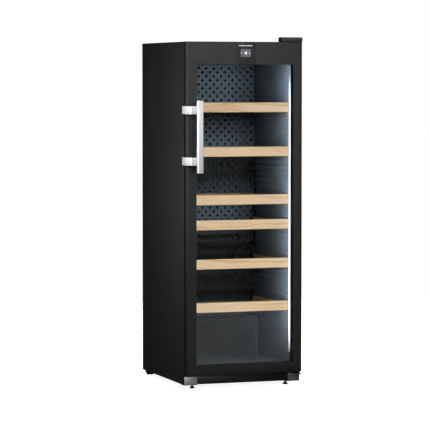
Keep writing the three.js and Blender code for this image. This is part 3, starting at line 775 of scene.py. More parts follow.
    def bevel_edges(self, edges: Iterable[bmesh.types.BMEdge], width: float, segments: int = 2) -> None:
        """Bevels edges with a round profile."""
        bmesh.ops.bevel(
            self.bm,
            geom=[e for e in edges if e.is_valid],
            offset=width,
            offset_type="OFFSET",
            affect="EDGES",
            segments=segments,
            profile=0.5,
            clamp_overlap=True,
            material=-1,
        )

    def ease(
        self,
        width: float,
        segments: int = 2,
        sharper: float = 50.0,
        where: Callable[[bmesh.types.BMEdge], bool] | None = None,
    ) -> "Part":
        """Bevels the outward edges that turn by more than an angle.

        Args:
            width: bevel width.
            segments: its steps.
            sharper: least angle between the faces, in degrees.
            where: picks edges, or None for all.

        Returns:
            The part.
        """
        least = math.radians(sharper)
        sharp = [e for e in self.bm.edges if len(e.link_faces) == 2 and e.calc_face_angle_signed(0.0) > least]
        self.bevel_edges([e for e in sharp if where is None or where(e)], width, segments)
        return self

    def outward(self) -> "Part":
        """Turns every face outward."""
        bmesh.ops.recalc_face_normals(self.bm, faces=self.bm.faces)
        return self

    def without(self, cutter: "Part") -> "Part":
        """Cuts another part out of this one."""
        objects = []
        for name, part in (("body", self), ("cutter", cutter)):
            mesh = bpy.data.meshes.new(name)
            part.bm.to_mesh(mesh)
            part.bm.free()
            made = bpy.data.objects.new(name, mesh)
            bpy.context.scene.collection.objects.link(made)
            objects.append(made)
        body, tool = objects
        change = body.modifiers.new("cut", "BOOLEAN")
        change.object = tool
        change.operation = "DIFFERENCE"
        change.solver = "EXACT"
        self.bm = bmesh.new()
        result = body.evaluated_get(bpy.context.evaluated_depsgraph_get()).to_mesh()
        self.bm.from_mesh(result)
        for made in objects:
            bpy.data.objects.remove(made)
        bmesh.ops.remove_doubles(self.bm, verts=self.bm.verts, dist=0.002)
        return self

    def place(
        self,
        name: str,
        finish: Finish,
        body: str,
        slot: str,
        nodes: Sequence[str] = (),
        crease: float = 35.0,
    ) -> bpy.types.Object:
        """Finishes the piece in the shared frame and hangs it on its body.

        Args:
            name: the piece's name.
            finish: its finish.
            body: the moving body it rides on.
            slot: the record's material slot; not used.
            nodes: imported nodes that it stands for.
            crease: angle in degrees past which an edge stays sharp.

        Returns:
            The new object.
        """
        bmesh.ops.transform(self.bm, matrix=DATUM.matrix, verts=self.bm.verts)
        mesh = bpy.data.meshes.new(name)
        self.bm.to_mesh(mesh)
        self.bm.free()
        mesh.shade_smooth()
        mesh.set_sharp_from_angle(angle=math.radians(crease))
        made = bpy.data.objects.new(name, mesh)
        bpy.context.scene.collection.objects.link(made)
        mesh.materials.append(finish.make())
        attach(made, body)
        if nodes:
            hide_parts(*nodes)
        log.info("%s: %d faces on %s", name, len(mesh.polygons), body)
        return made


def dress(node: str, finish: Finish) -> None:
    """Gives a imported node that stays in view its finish."""
    held = frame["nodes"][node]
    held.data.materials.clear()
    held.data.materials.append(finish.make())
    log.info("%s: keeps its packed shape", node)


def eased_copy(
    node: str, name: str, finish: Finish, body: str, slot: str, width: float, segments: int = 2
) -> None:
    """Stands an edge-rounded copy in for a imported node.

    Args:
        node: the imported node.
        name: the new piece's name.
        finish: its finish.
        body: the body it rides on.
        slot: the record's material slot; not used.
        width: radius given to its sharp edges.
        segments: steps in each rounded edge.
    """
    Part.from_node(node).ease(width, segments).place(name, finish, body, slot, [node])


def screw(part: Part, axis: Axis, middle: Point, radius: float, proud: float) -> None:
    """Adds a domed screw head with a cross recess.

    Args:
        part: the piece that takes it.
        axis: the screw's axis, pointing out of the head where proud is positive.
        middle: the point of the face under the head.
        radius: head radius.
        proud: head height, negative to face the other way.
    """
    steps = [(radius, 0.0), (radius, 0.25), (radius * 0.9, 0.6), (radius * 0.62, 0.88), (radius * 0.3, 1.0)]
    profile = [(0.0, 0.0)] + [(r, h * proud) for r, h in steps] + [(0.0, proud)]
    part.turned(axis, middle, profile, 16)


# ------------------------------------------------------------------ sub-assemblies
@dataclass
class CabinetShell:
    """Outer sheets, foam and the ribbed inner liner."""

    fold: float = 1.3
    trim: float = 0.35
    rib_ease: float = 1.4
    rear_screws: Sequence[float] = (290.0, 620.0, 960.0, 1300.0, 1635.0)
    rear_columns: Sequence[float] = (24.0, 573.0)
    rear_face: float = 700.0

    def build(self) -> None:
        """Makes the shell."""
        self.side("left_side_panel", "side_sheet_left", 0.0)
        self.side("right_side_panel", "side_sheet_right", 597.0)
        top = Part.from_node("top_panel").ease(self.trim)
        top.place("top_sheet", FINISH.side_coat, "cabinet", "black_steel", ["top_panel"])
        eased_copy("rear_panel", "rear_sheet", FINISH.sheet_metal, "cabinet", "galvanised_steel", 0.3)
        heads = Part()
        for z in self.rear_screws:
            for x in self.rear_columns:
                screw(heads, Axis.Y, (x, self.rear_face, z), 4.0, 1.8)
        heads.place("rear_sheet_screws", FINISH.pin_steel, "cabinet", "bright_steel")
        self.liner()
        dress("insulation", FINISH.foam)
        dress("light_column_left", FINISH.lamp)
        dress("light_column_right", FINISH.lamp)

    def side(self, node: str, name: str, x: float) -> None:
        """Side sheet with its long outer folds rounded.

        Args:
            node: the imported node.
            name: the new piece's name.
            x: the outer face.
        """

        def outer_fold(edge: bmesh.types.BMEdge) -> bool:
            """True on the upright edges of the outer face."""
            upright = abs(edge.verts[0].co.z - edge.verts[1].co.z) > 100
            return upright and all(abs(v.co.x - x) < NEAR for v in edge.verts)

        part = Part.from_node(node).ease(self.fold, 4, where=outer_fold).ease(self.trim)
        part.place(name, FINISH.side_coat, "cabinet", "black_steel", [node])

    def liner(self) -> None:
        """Inner liner with rounded ribs."""
        part = Part.from_node("inner_liner").ease(self.rib_ease, 3, 60.0)
        part.place("ribbed_liner", FINISH.liner, "cabinet", "liner_plastic", ["inner_liner"], 50.0)


@dataclass
class DuctPanel:
    """Perforated sheet across the back of the cavity, with its edges rolled backwards."""

    flat: Span = (54.4, 542.6)
    height: Span = (294.4, 1599.6)
    front: float = 548.0
    thick: float = 1.2
    roll: float = 5.0
    flange: float = 5.0
    cell: tuple[float, float] = (20.0, 40.0)
    columns: int = 24
    rows: int = 32
    hole: float = 6.6

    def build(self) -> None:
        """Makes the sheet and hangs it on the cabinet."""
        part = Part()
        bm = part.bm
        wide, tall = self.cell
        left = (self.flat[0] + self.flat[1] - self.columns * wide) / 2
        low = (self.height[0] + self.height[1] - self.rows * tall) / 2
        for column in range(self.columns):
            staggered = column % 2
            x = left + (column + 0.5) * wide
            for row in range(self.rows - staggered):
                self.pierced(bm, x, low + (row + 0.5 + 0.5 * staggered) * tall)
            if staggered:
                for z in (low + tall / 4, low + (self.rows - 0.25) * tall):
                    self.plain(bm, x, z)
        bmesh.ops.remove_doubles(bm, verts=bm.verts, dist=0.05)
        self.margin(bm, 2, low, self.height[0])
        self.margin(bm, 2, low + self.rows * tall, self.height[1])
        self.margin(bm, 0, left, self.flat[0])
        self.margin(bm, 0, left + self.columns * wide, self.flat[1])
        self.rolled_edge(bm, self.flat[0], -1)
        self.rolled_edge(bm, self.flat[1], 1)
        bmesh.ops.recalc_face_normals(bm, faces=bm.faces)
        centre = Vector((298.0, self.front, 900.0))
        middle = min(bm.faces, key=lambda f: (f.calc_center_median() - centre).length)
        if middle.normal.y > 0:
            bmesh.ops.reverse_faces(bm, faces=bm.faces)
        bmesh.ops.solidify(bm, geom=bm.faces, thickness=self.thick)
        part.place("perforated_panel", FINISH.duct, "cabinet", "liner_plastic", ["air_duct_panel"], 40.0)

    def upright(self, x: float, z: float) -> Matrix:
        """Takes a flat shape from the XY plane to the sheet's plane round a point."""
        return Matrix.Translation((x, self.front, z)) @ Matrix.Rotation(math.pi / 2, 4, "X")

    def grid(
        self, bm: bmesh.types.BMesh, x: float, z: float, tall: float, steps: int
    ) -> list[bmesh.types.BMVert]:
        """Adds a plain cell two steps wide and returns its vertices."""
        place = self.upright(x, z) @ Matrix.Diagonal((self.cell[0], tall, 1, 1))
        return bmesh.ops.create_grid(bm, x_segments=2, y_segments=steps, size=0.5, matrix=place)["verts"]

    def plain(self, bm: bmesh.types.BMesh, x: float, z: float) -> None:
        """Adds half a cell without a hole."""
        self.grid(bm, x, z, self.cell[1] / 2, 2)

    def pierced(self, bm: bmesh.types.BMesh, x: float, z: float) -> None:
        """Adds a cell with a round hole in its middle."""
        made = self.grid(bm, x, z, self.cell[1], 4)
        inner = [v for v in made if not v.is_boundary]
        faces = {f for v in made for f in v.link_faces}
        rim = [e for e in {e for v in made for e in v.link_edges} if e.is_boundary]
        bmesh.ops.delete(bm, geom=list(faces), context="FACES_ONLY")
        spare = {e for v in inner for e in v.link_edges}
        bmesh.ops.delete(bm, geom=list(spare), context="EDGES")
        bmesh.ops.delete(bm, geom=[v for v in inner if v.is_valid], context="VERTS")
        ring = bmesh.ops.create_circle(bm, segments=12, radius=self.hole, matrix=self.upright(x, z))["verts"]
        edges = list({e for v in ring for e in v.link_edges})
        bmesh.ops.bridge_loops(bm, edges=[e for e in rim if e.is_valid] + edges)

    def margin(self, bm: bmesh.types.BMesh, axis: int, start: float, end: float) -> None:
        """Stretches the sheet's outline from one line to another."""
        rim = [e for e in bm.edges if e.is_boundary and all(abs(v.co[axis] - start) < 0.01 for v in e.verts)]
        grown = bmesh.ops.extrude_edge_only(bm, edges=rim)["geom"]
        push = Vector()
        push[axis] = end - start
        bmesh.ops.translate(bm, vec=push, verts=[v for v in grown if isinstance(v, bmesh.types.BMVert)])

    def rolled_edge(self, bm: bmesh.types.BMesh, x: float, side: int) -> None:
        """Rolls an upright edge of the sheet backwards and adds a short flange.

        Args:
            bm: the sheet.
            x: where the roll starts.
            side: −1 on the left, 1 on the right.
        """
        rim = [e for e in bm.edges if e.is_boundary and all(abs(v.co.x - x) < 0.01 for v in e.verts)]
        verts = list({v for e in rim for v in e.verts})
        centre = (x, self.front + self.roll, 0)
        swept = bmesh.ops.spin(
            bm, geom=verts + rim, cent=centre, axis=(0, 0, 1), angle=side * math.pi / 2, steps=4
        )["geom_last"]
        last = [e for e in swept if isinstance(e, bmesh.types.BMEdge)]
        grown = bmesh.ops.extrude_edge_only(bm, edges=last)["geom"]
        bmesh.ops.translate(
            bm, vec=(0, self.flange, 0), verts=[v for v in grown if isinstance(v, bmesh.types.BMVert)]
        )


@dataclass
class FinnedCoil:
    """Serpentine tube through a stack of thin upright fins."""

    node: str
    name: str
    slot: str
    across: Span
    depth: Span
    lowest: float
    pitch: float
    rows: int
    fin_top: float
    fins: int
    fin_finish: Finish
    tube_finish: Finish
    tail: float | None = None
    tube: float = 4.0
    bend_share: float = 0.4
    bare_share: float = 0.12
    fin_drop: float = 14.0
    fin_thick: float = 0.5

    def build(self) -> None:
        """Makes the tube and the fins."""
        middle = sum(self.depth) / 2
        start, end = self.across
        route = [] if self.tail is None else [(start, middle, self.tail)]
        for row in range(self.rows):
            z = self.lowest + row * self.pitch
            near, far = (end, start) if row % 2 else (start, end)
            route += [(near, middle, z), (far, middle, z)]
        tube = Part().pipe(route, self.tube, self.pitch * self.bend_share)
        tube.place(f"{self.name}_tube", self.tube_finish, "cabinet", self.slot, [self.node])
        low, high = sorted(self.across)
        inset = (high - low) * self.bare_share
        stack = Part()
        for i in range(self.fins):
            x = low + inset + i * (high - low - 2 * inset) / (self.fins - 1)
            span = (x - self.fin_thick / 2, x + self.fin_thick / 2)
            stack.box(span, self.depth, (self.lowest - self.fin_drop, self.fin_top))
        stack.place(f"{self.name}_fins", self.fin_finish, "cabinet", self.slot)


@dataclass
class Fan:
    """Axial fan behind the duct panel."""

    middle: Point = (298.5, 575.0, 1500.0)
    hub: float = 18.0
    blades: int = 7
    reach: Span = (16.0, 54.0)
    chord: Span = (15.0, 24.0)
    pitch_turn: Span = (0.85, 0.45)
    camber: float = 1.6
    blade_thick: float = 1.4

    def build(self) -> None:
        """Makes the shroud and the rotor."""
        eased_copy("fan_shroud", "fan_shroud_ring", FINISH.black_plastic, "cabinet", "black_plastic", 0.8)
        x, y, z = self.middle
        rotor = Part()
        nose = [(0, -9), (10, -8.6), (15, -7), (self.hub, -3), (self.hub, 9), (3.0, 9), (3.0, -3), (0, -3)]
        rotor.turned(Axis.Y, self.middle, nose, 32)
        blade = bmesh.ops.create_grid(rotor.bm, x_segments=8, y_segments=5, size=0.5)["verts"]
        for vert in blade:
            out = vert.co.x + 0.5
            wide = self.chord[0] + (self.chord[1] - self.chord[0]) * math.sin(out * math.pi * 0.75)
            turn = self.pitch_turn[0] + (self.pitch_turn[1] - self.pitch_turn[0]) * out
            across = vert.co.y * wide
            camber = self.camber * (1 - (2 * vert.co.y) ** 2)
            radius = self.reach[0] + (self.reach[1] - self.reach[0]) * out
            vert.co = Vector((
                x + across * math.cos(turn) + camber * math.sin(turn),
                y - across * math.sin(turn) * 0.62 + camber * math.cos(turn) * 0.6,
                z + radius,
            ))
        faces = list({f for v in blade for f in v.link_faces})
        thick = bmesh.ops.solidify(rotor.bm, geom=faces, thickness=self.blade_thick)["geom"]
        shell = list(dict.fromkeys(faces + [g for g in thick if isinstance(g, bmesh.types.BMFace)]))
        corners = list({v for f in shell for v in f.verts})
        geometry = corners + list({e for f in shell for e in f.edges}) + shell
        bmesh.ops.spin(
            rotor.bm,
            geom=geometry,
            cent=self.middle,
            axis=(0, 1, 0),
            angle=2 * math.pi * (self.blades - 1) / self.blades,
            steps=self.blades - 1,
            use_duplicate=True,
        )
        rotor.outward()
        rotor.place("fan_blades", FINISH.black_plastic, "fan", "black_plastic", ["fan_rotor"])


@dataclass
class Base:
    """Base frame, plinth, front feet and rear rollers."""

    foot_x: tuple[float, float] = (56.0, 538.0)
    foot_y: float = 77.0
    stem: float = 5.0
    thread: Span = (11.0, 48.5)
    thread_pitch: float = 2.0
    roller_y: float = 655.0
    roller_radius: float = 21.0
    width: float = 597.0

    def build(self) -> None:
        """Makes everything under the cabinet."""
        eased_copy("base_frame", "base_pan", FINISH.sheet_metal, "cabinet", "galvanised_steel", 0.5)
        eased_copy("plinth", "plinth_strip", FINISH.side_coat, "cabinet", "black_steel", 0.6, 3)
        for body, x in ((Standing.FOOT_LEFT, self.foot_x[0]), (Standing.FOOT_RIGHT, self.foot_x[1])):
            self.foot(body.value, x)
        self.roller(Standing.ROLLER_LEFT.value, False)
        self.roller(Standing.ROLLER_RIGHT.value, True)

    def foot(self, body: str, x: float) -> None:
        """Levelling foot: a soft pad, a flared base with a hexagon and a threaded stem."""
        profile = [
            (0, 0), (11.6, 0), (12.8, 0.7), (13.4, 2.2), (12.6, 3.2), (8.4, 7.0), (6.2, 8.4), (5.4, 9.4),
        ]
        z, end = self.thread
        while z < end:
            profile += [(self.stem - 0.65, z), (self.stem, z + self.thread_pitch / 2)]
            z += self.thread_pitch
        profile += [(self.stem - 0.7, 49.0), (self.stem - 1.2, 50.0), (0, 50.0)]
        part = Part().turned(Axis.Z, (x, self.foot_y, 0.0), profile, 36)
        bmesh.ops.create_cone(
            part.bm,
            cap_ends=True,
            segments=6,
            radius1=7.4,
            radius2=7.4,
            depth=3.6,
            matrix=Matrix.Translation((x, self.foot_y, 9.2)),
        )
        part.place(f"levelling_{body}", FINISH.foot_plastic, body, "black_plastic", [f"front_{body}"])

    def roller(self, body: str, mirrored: bool) -> None:
        """Transport roller with a grooved tread on its axle."""
        radius = self.roller_radius
        half = [(4, 9), (11, 9), (11, 10.5), (15, 10.5), (15, 9), (18.5, 9), (20.2, 9.8), (radius, 12)]
        tread = []
        for start in (12.0, 20.0, 28.0):
            tread += [(radius, start + 6.2), (radius - 0.8, start + 6.8)]
            tread += [(radius - 0.8, start + 7.4), (radius, start + 8)]
        other = [(r, 52 - h) for r, h in reversed(half)]
        axle = [(0, 4.2), (3.2, 4.2), (4, 5.0)]
        end = [(4, 48.2), (3.2, 49.0), (0, 49.0)]
        profile = axle + half + [p for p in tread if p[1] < 40] + other + end
        if mirrored:
            profile = [(r, self.width - h) for r, h in reversed(profile)]
        part = Part().turned(Axis.X, (0.0, self.roller_y, radius), profile, 48)
        part.place(f"transport_{body}", FINISH.tread, body, "black_plastic", [f"rear_{body}"])


@dataclass
class Hinges:
    """Hinge brackets, pins, the blanking bracket on the left and the cover on top."""

    bracket_screws: Sequence[float] = (549.0, 566.0, 584.0)
    bracket_face: float = 39.2
    bracket_middle: float = 40.0
    plate_screws: Sequence[tuple[float, float]] = ((558.0, 60.0), (578.0, 60.0), (568.0, 95.0))
    plate_top: float = 1676.0
    cover_ease: float = 1.1

    def build(self) -> None:
        """Makes the hinge parts."""
        steel, zinc = "bright_steel", "galvanised_steel"
        eased_copy("left_foot_bracket", "foot_plate", FINISH.bracket_steel, "cabinet", steel, 0.7, 3)
        eased_copy("lower_hinge_bracket", "hinge_plate_lower", FINISH.hinge_steel, "cabinet", steel, 0.7, 3)
        sunk = Part()
        for x in self.bracket_screws:
            screw(sunk, Axis.Y, (x, self.bracket_face + 0.2, self.bracket_middle), 5.4, 1.4)
        sunk.place("hinge_plate_screws", FINISH.edge_paint, "cabinet", steel)
        eased_copy("lower_hinge_pin", "hinge_pivot_lower", FINISH.pin_steel, "cabinet", steel, 0.3)
        eased_copy("upper_hinge_pin", "hinge_pivot_upper", FINISH.pin_steel, "cabinet", steel, 0.3)
        eased_copy("upper_hinge_bracket", "hinge_plate_upper", FINISH.sheet_metal, "cabinet", zinc, 0.5)
        heads = Part()
        domed = [(0, 0), (5.6, 0), (5.6, 1.2), (4.6, 2.6), (2.2, 3.2), (0, 3.2)]
        for x, y in self.plate_screws:
            heads.turned(Axis.Z, (x, y, self.plate_top), domed, 18)
        heads.place("hinge_plate_upper_screws", FINISH.pin_steel, "cabinet", steel)
        cover = Part.from_node("hinge_cover").ease(self.cover_ease, 4, 40.0)
        cover.place("hinge_cap", FINISH.cap_plastic, "cabinet", "black_plastic", ["hinge_cover"])


@dataclass
class MachineRoom:
    """Compressor, drip tray, lines, electronics box and the louvred cover."""

    compressor: tuple[float, float] = (150.0, 618.0)
    shell: Sequence[tuple[float, float]] = (
        (0, 81), (34, 81.5), (56, 84), (66, 90), (70, 100), (70, 138), (71.6, 139), (71.6, 143),
        (70, 144), (69, 158), (64, 176), (54, 190), (38, 199), (18, 202.6), (0, 203),
    )
    plate: tuple[Span, Span] = ((78.0, 222.0), (566.0, 670.0))
    grommets: Sequence[tuple[float, float]] = ((88.0, 576.0), (212.0, 576.0), (88.0, 660.0), (212.0, 660.0))
    suction: Sequence[Point] = (
        (470, 592, 1175.5), (470, 592, 238), (236, 592, 238), (236, 592, 140), (236, 618, 140),
        (220.6, 618, 140),
    )
    louvre_columns: Sequence[float] = (50.0, 190.0, 330.0)
    louvre_rows: int = 8
    louvre_lowest: float = 70.0
    louvre_pitch: float = 20.0
    louvre_size: tuple[float, float] = (110.0, 8.0)
    cover_columns: Sequence[float] = (24.0, 180.0, 460.0, 573.0)
    cover_rows: Sequence[float] = (40.0, 241.0)
    cover_face: float = 700.0
    electronics_box: tuple[Span, Span, Span] = ((486.0, 572.0), (572.0, 660.0), (110.0, 236.0))
    electronics_lid: tuple[Span, Span, Span] = ((485.0, 573.0), (660.4, 680.0), (109.0, 237.0))
    lid_screws: tuple[Sequence[float], Sequence[float]] = ((494.0, 564.0), (118.0, 228.0))
    inlet: tuple[Span, Span] = ((505.0, 555.0), (66.0, 96.0))

    def build(self) -> None:
        """Makes the machine compartment."""
        self.compressor_unit()
        self.lines()
        tray = Part.from_node("drip_tray").ease(1.2, 3)
        tray.place("melt_water_tray", FINISH.black_plastic, "cabinet", "black_plastic", ["drip_tray"])
        self.electronics()
        self.cover()
        self.mains()

    def compressor_unit(self) -> None:
        """Welded shell on its foot plate and grommets, with the terminal cover."""
        x, y = self.compressor
        unit = Part().turned(Axis.Z, (x, y, 0.0), self.shell, 56)
        unit.box(*self.plate, (76.5, 80.0), 1.2)
        unit.box((x - 78, x - 62), (y - 22, y + 22), (104, 150), 3.0, 3)
        unit.place("compressor_shell", FINISH.enamel, "cabinet", "motor_enamel", ["compressor"])
        rubber = Part()
        ring = [(0, 63.9), (9, 63.9), (9, 68), (7.2, 69.4), (7.2, 71), (9, 72.4), (9, 76.3), (0, 76.3)]
        for gx, gy in self.grommets:
            rubber.turned(Axis.Z, (gx, gy, 0.0), ring, 24)
        rubber.place("compressor_grommets", FINISH.gasket_rubber, "cabinet", "gasket_rubber")

    def lines(self) -> None:
        """Copper suction and discharge lines."""
        line = Part().pipe(self.suction, radius=3.6, bend=9.0, segments=14)
        line.place("suction_tube", FINISH.copper, "cabinet", "copper", ["suction_line"])
        short = Part().rod(Axis.X, (237.1, 621.0, 86.0), 29.0, 3.0, 20, 0.4)
        short.rod(Axis.X, (227.0, 621.0, 86.0), 7.0, 3.9, 20, 0.6)
        short.place("discharge_tube", FINISH.copper, "cabinet", "copper", ["discharge_line"])

    def electronics(self) -> None:
        """Electronics box with its lid seam and screws."""
        case = Part().box(*self.electronics_box, 2.5, 3).box(*self.electronics_lid, 2.5, 3)
        case.place("electronics_case", FINISH.black_plastic, "cabinet", "black_plastic", ["control_box"])
        heads = Part()
        columns, rows = self.lid_screws
        for x in columns:
            for z in rows:
                screw(heads, Axis.Y, (x, self.electronics_lid[1][1], z), 3.4, 1.6)
        heads.place("electronics_case_screws", FINISH.pin_steel, "cabinet", "bright_steel")

    def cover(self) -> None:
        """Rear cover with a slanted hood over each louvre."""
        eased_copy("machine_cover", "rear_cover", FINISH.sheet_metal, "cabinet", "galvanised_steel", 0.25)
        hoods = Part()
        wide, tall = self.louvre_size
        for left in self.louvre_columns:
            for row in range(self.louvre_rows):
                low = self.louvre_lowest + row * self.louvre_pitch
                section = [
                    (left, 698.6, low + tall), (left, 698.6, low + tall - 0.8), (left, 691.5, low - 0.5),
                    (left, 690.8, low - 0.1), (left, 697.9, low + tall + 0.6),
                ]
                hoods.outline(section, (wide, 0, 0))
        hoods.place("rear_cover_louvres", FINISH.sheet_metal, "cabinet", "galvanised_steel")
        heads = Part()
        for x in self.cover_columns:
            for z in self.cover_rows:
                screw(heads, Axis.Y, (x, self.cover_face, z), 4.0, 1.8)
        heads.place("rear_cover_screws", FINISH.pin_steel, "cabinet", "bright_steel")

    def mains(self) -> None:
        """Mains inlet with three metal pins."""
        eased_copy("mains_inlet", "mains_socket", FINISH.black_plastic, "cabinet", "black_plastic", 0.7, 3)
        (left, right), (low, high) = self.inlet
        pins = Part()
        for offset, rise in ((-8.0, 0.0), (0.0, 2.0), (8.0, 0.0)):
            x = (left + right) / 2 + offset
            z = (low + high) / 2 + rise
            pins.box((x - 1, x + 1), (687.0, 699.2), (z - 2.6, z + 2.6), 0.4)
        pins.place("mains_pins", FINISH.pin_steel, "cabinet", "bright_steel")


@dataclass
class Door:
    """Glazed door with its control strip."""

    outer: tuple[float, float, float, float] = (0.0, 597.0, 67.5, 1672.3)
    window: tuple[float, float, float, float] = (54.4, 547.5, 118.7, 1563.1)
    channel: float = 30.0
    skin: float = 2.0
    lip: float = 8.0
    back_step: float = 7.0
    corner: float = 14.0
    pin: tuple[float, float] = (583.0, 12.0)
    strip: tuple[float, float, float, float] = (253.6, 353.1, 1563.3, 1672.1)
    screen: tuple[float, float, float, float] = (277.5, 328.6, 1598.6, 1636.3)
    gasket: tuple[float, float, float, float] = (22.0, 575.0, 76.0, 1630.0)
    gasket_section: Sequence[tuple[float, float]] = (
        (0, 34.3), (0, 35.3), (3.0, 35.7), (3.4, 37.0), (3.0, 38.4), (3.8, 39.2), (13.2, 39.2),
        (14, 38.4), (13.4, 37.0), (14, 35.9), (18, 35.3), (18, 34.3),
    )

    @staticmethod
    def grown(rect: Sequence[float], by: float, depth: float) -> tuple[float, float, float, float, float]:
        """Rectangle grown on all sides, at a depth."""
        left, right, bottom, top = rect
        return (left - by, right + by, bottom - by, top + by, depth)

    def build(self) -> None:
        """Makes the door."""
        self.frame_ring()
        self.rear_ring()
        for node in ("outer_glass", "inner_glass"):
            dress(node, FINISH.glass)
        dress("glass_spacer", FINISH.spacer)
        self.control_strip()
        self.display()
        plastic = FINISH.black_plastic
        for end in ("lower", "upper"):
            eased_copy(f"hinge_bush_{end}", f"pivot_bush_{end}", plastic, "door", "black_plastic", 0.5)

    def frame_ring(self) -> None:
        """Channel round the window, its front corners rounded and its rims eased."""
        outer, window, lip, skin = self.outer, self.window, self.lip, self.skin
        section = [
            self.grown(outer, 0, self.channel), self.grown(outer, 0, 0.0),
            self.grown(window, 0, 0.0), self.grown(window, 0, skin),
            self.grown(window, lip, skin), self.grown(window, lip, self.channel),
            self.grown(window, lip + skin, self.channel), self.grown(window, lip + skin, skin),
            self.grown(outer, -skin, skin), self.grown(outer, -skin, self.channel),
        ]
        part = Part().rings(section)
        part.bevel_edges(self.uprights(part, 0.0), self.corner, 12)
        part.bevel_edges(self.uprights(part, skin), self.corner - skin, 12)
        part.ease(0.9, 3, 55.0, where=lambda e: e.calc_length() > 3)
        x, y = self.pin
        holes = Part().rod(Axis.Z, (x, y, 68.5), 6.0, 7.0, 32).rod(Axis.Z, (x, y, 1671.3), 6.0, 7.0, 32)
        left, right, bottom, top = self.strip
        holes.box((left - 0.4, right + 0.4), (-1.0, 1.2), (bottom + 0.9, top - 0.9))
        part.without(holes).place("door_rim", FINISH.door_coat, "door", "black_steel", ["door_frame"], 30.0)

    def uprights(self, part: Part, inset: float) -> list[bmesh.types.BMEdge]:
        """The rim's two long front edges, on its outside or that far in."""
        sides = (self.outer[0] + inset, self.outer[1] - inset)

        def found(point: Vector) -> bool:
            """True for a point on one of the edges."""
            return abs(point.y - inset) < NEAR and min(abs(point.x - side) for side in sides) < NEAR

        return [e for e in part.bm.edges if e.calc_length() > 1000 and all(found(v.co) for v in e.verts)]

    def rear_ring(self) -> None:
        """Plastic frame behind the panes, stepped in at its rim, and the magnetic gasket on it."""
        ledge, past, inner = self.channel + 0.05, self.channel + 6.0, -self.back_step
        step = Part().rings([
            self.grown(self.outer, 3, past), self.grown(self.outer, 3, ledge),
            self.grown(self.outer, inner, ledge), self.grown(self.outer, inner, past),
        ])
        back = Part.from_node("door_rear_frame").without(step).ease(0.7, 3)
        back.place("door_back_frame", FINISH.black_plastic, "door", "black_plastic", ["door_rear_frame"])
        section = [self.grown(self.gasket, -inset, depth) for inset, depth in self.gasket_section]
        seal = Part().rings(section).ease(0.35, 2, 40.0)
        seal.place("magnetic_seal", FINISH.gasket_rubber, "door", "gasket_rubber", ["door_gasket"], 60.0)

    def control_strip(self) -> None:
        """Gloss strip with a plain badge bar and small touch marks."""
        left, right, bottom, top = self.strip
        s = self.screen
        section = [
            (left, right, bottom + 1.3, top - 1.3, 0.95), (left, right, bottom + 1.3, top - 1.3, 0.05),
            (s[0] - 0.3, s[1] + 0.3, s[2] - 0.3, s[3] + 0.3, 0.05),
            (s[0] - 0.3, s[1] + 0.3, s[2] - 0.3, s[3] + 0.3, 0.95),
        ]
        strip = Part().rings(section).ease(0.15, 2, 60.0)
        strip.place("control_strip", FINISH.panel_gloss, "door", "gloss_panel", ["control_panel"])
        badge = Part().box((267.5, 338.5), (-0.35, 0.3), (1650.6, 1655.2), 0.3, 2)
        badge.place("plain_badge_bar", FINISH.handle_metal, "door", "satin_aluminium")
        marks = Part()
        for x, wide in ((272.0, 5.0), (284.0, 3.0), (294.0, 6.0), (306.0, 3.0), (318.0, 8.0), (331.0, 4.0)):
            marks.box((x, x + wide), (-0.02, 0.2), (1580.6, 1582.4))
        marks.place("touch_marks", FINISH.print_grey, "door", "gloss_panel")

    def display(self) -> None:
        """Screen with a two-digit temperature and a bar at either side."""
        left, right, bottom, top = self.screen
        face = Part().box((left, right), (0.05, 0.9), (bottom, top), 0.2)
        face.place("screen_face", FINISH.screen, "door", "screen", ["display_screen"])
        lit = Part()
        middle_x, middle_z = (left + right) / 2, (bottom + top) / 2
        stroke, tall, wide = 1.8, 12.6, 6.0

        def bar(x: Span, z: Span) -> None:
            """One lit stroke."""
            lit.box(x, (-0.02, 0.15), z)

        one = middle_x - 4.2
        bar((one, one + stroke), (middle_z - tall / 2, middle_z + tall / 2))
        bar((one - 1.8, one), (middle_z + tall / 2 - 3.2, middle_z + tall / 2 - 1.8))
        four = middle_x - 0.6
        bar((four, four + stroke), (middle_z - 0.4, middle_z + tall / 2))
        bar((four, four + wide + 1.2), (middle_z - 1.9, middle_z - 0.4))
        bar((four + wide - stroke, four + wide), (middle_z - tall / 2, middle_z + tall / 2))
        bar((middle_x + 7.6, middle_x + 9.0), (middle_z + tall / 2 - 1.4, middle_z + tall / 2))
        for x in (left + 3.0, right - 4.4):
            bar((x, x + 1.2), (middle_z - 5.0, middle_z + 5.0))
        lit.place("screen_digits", FINISH.digit, "door", "screen")


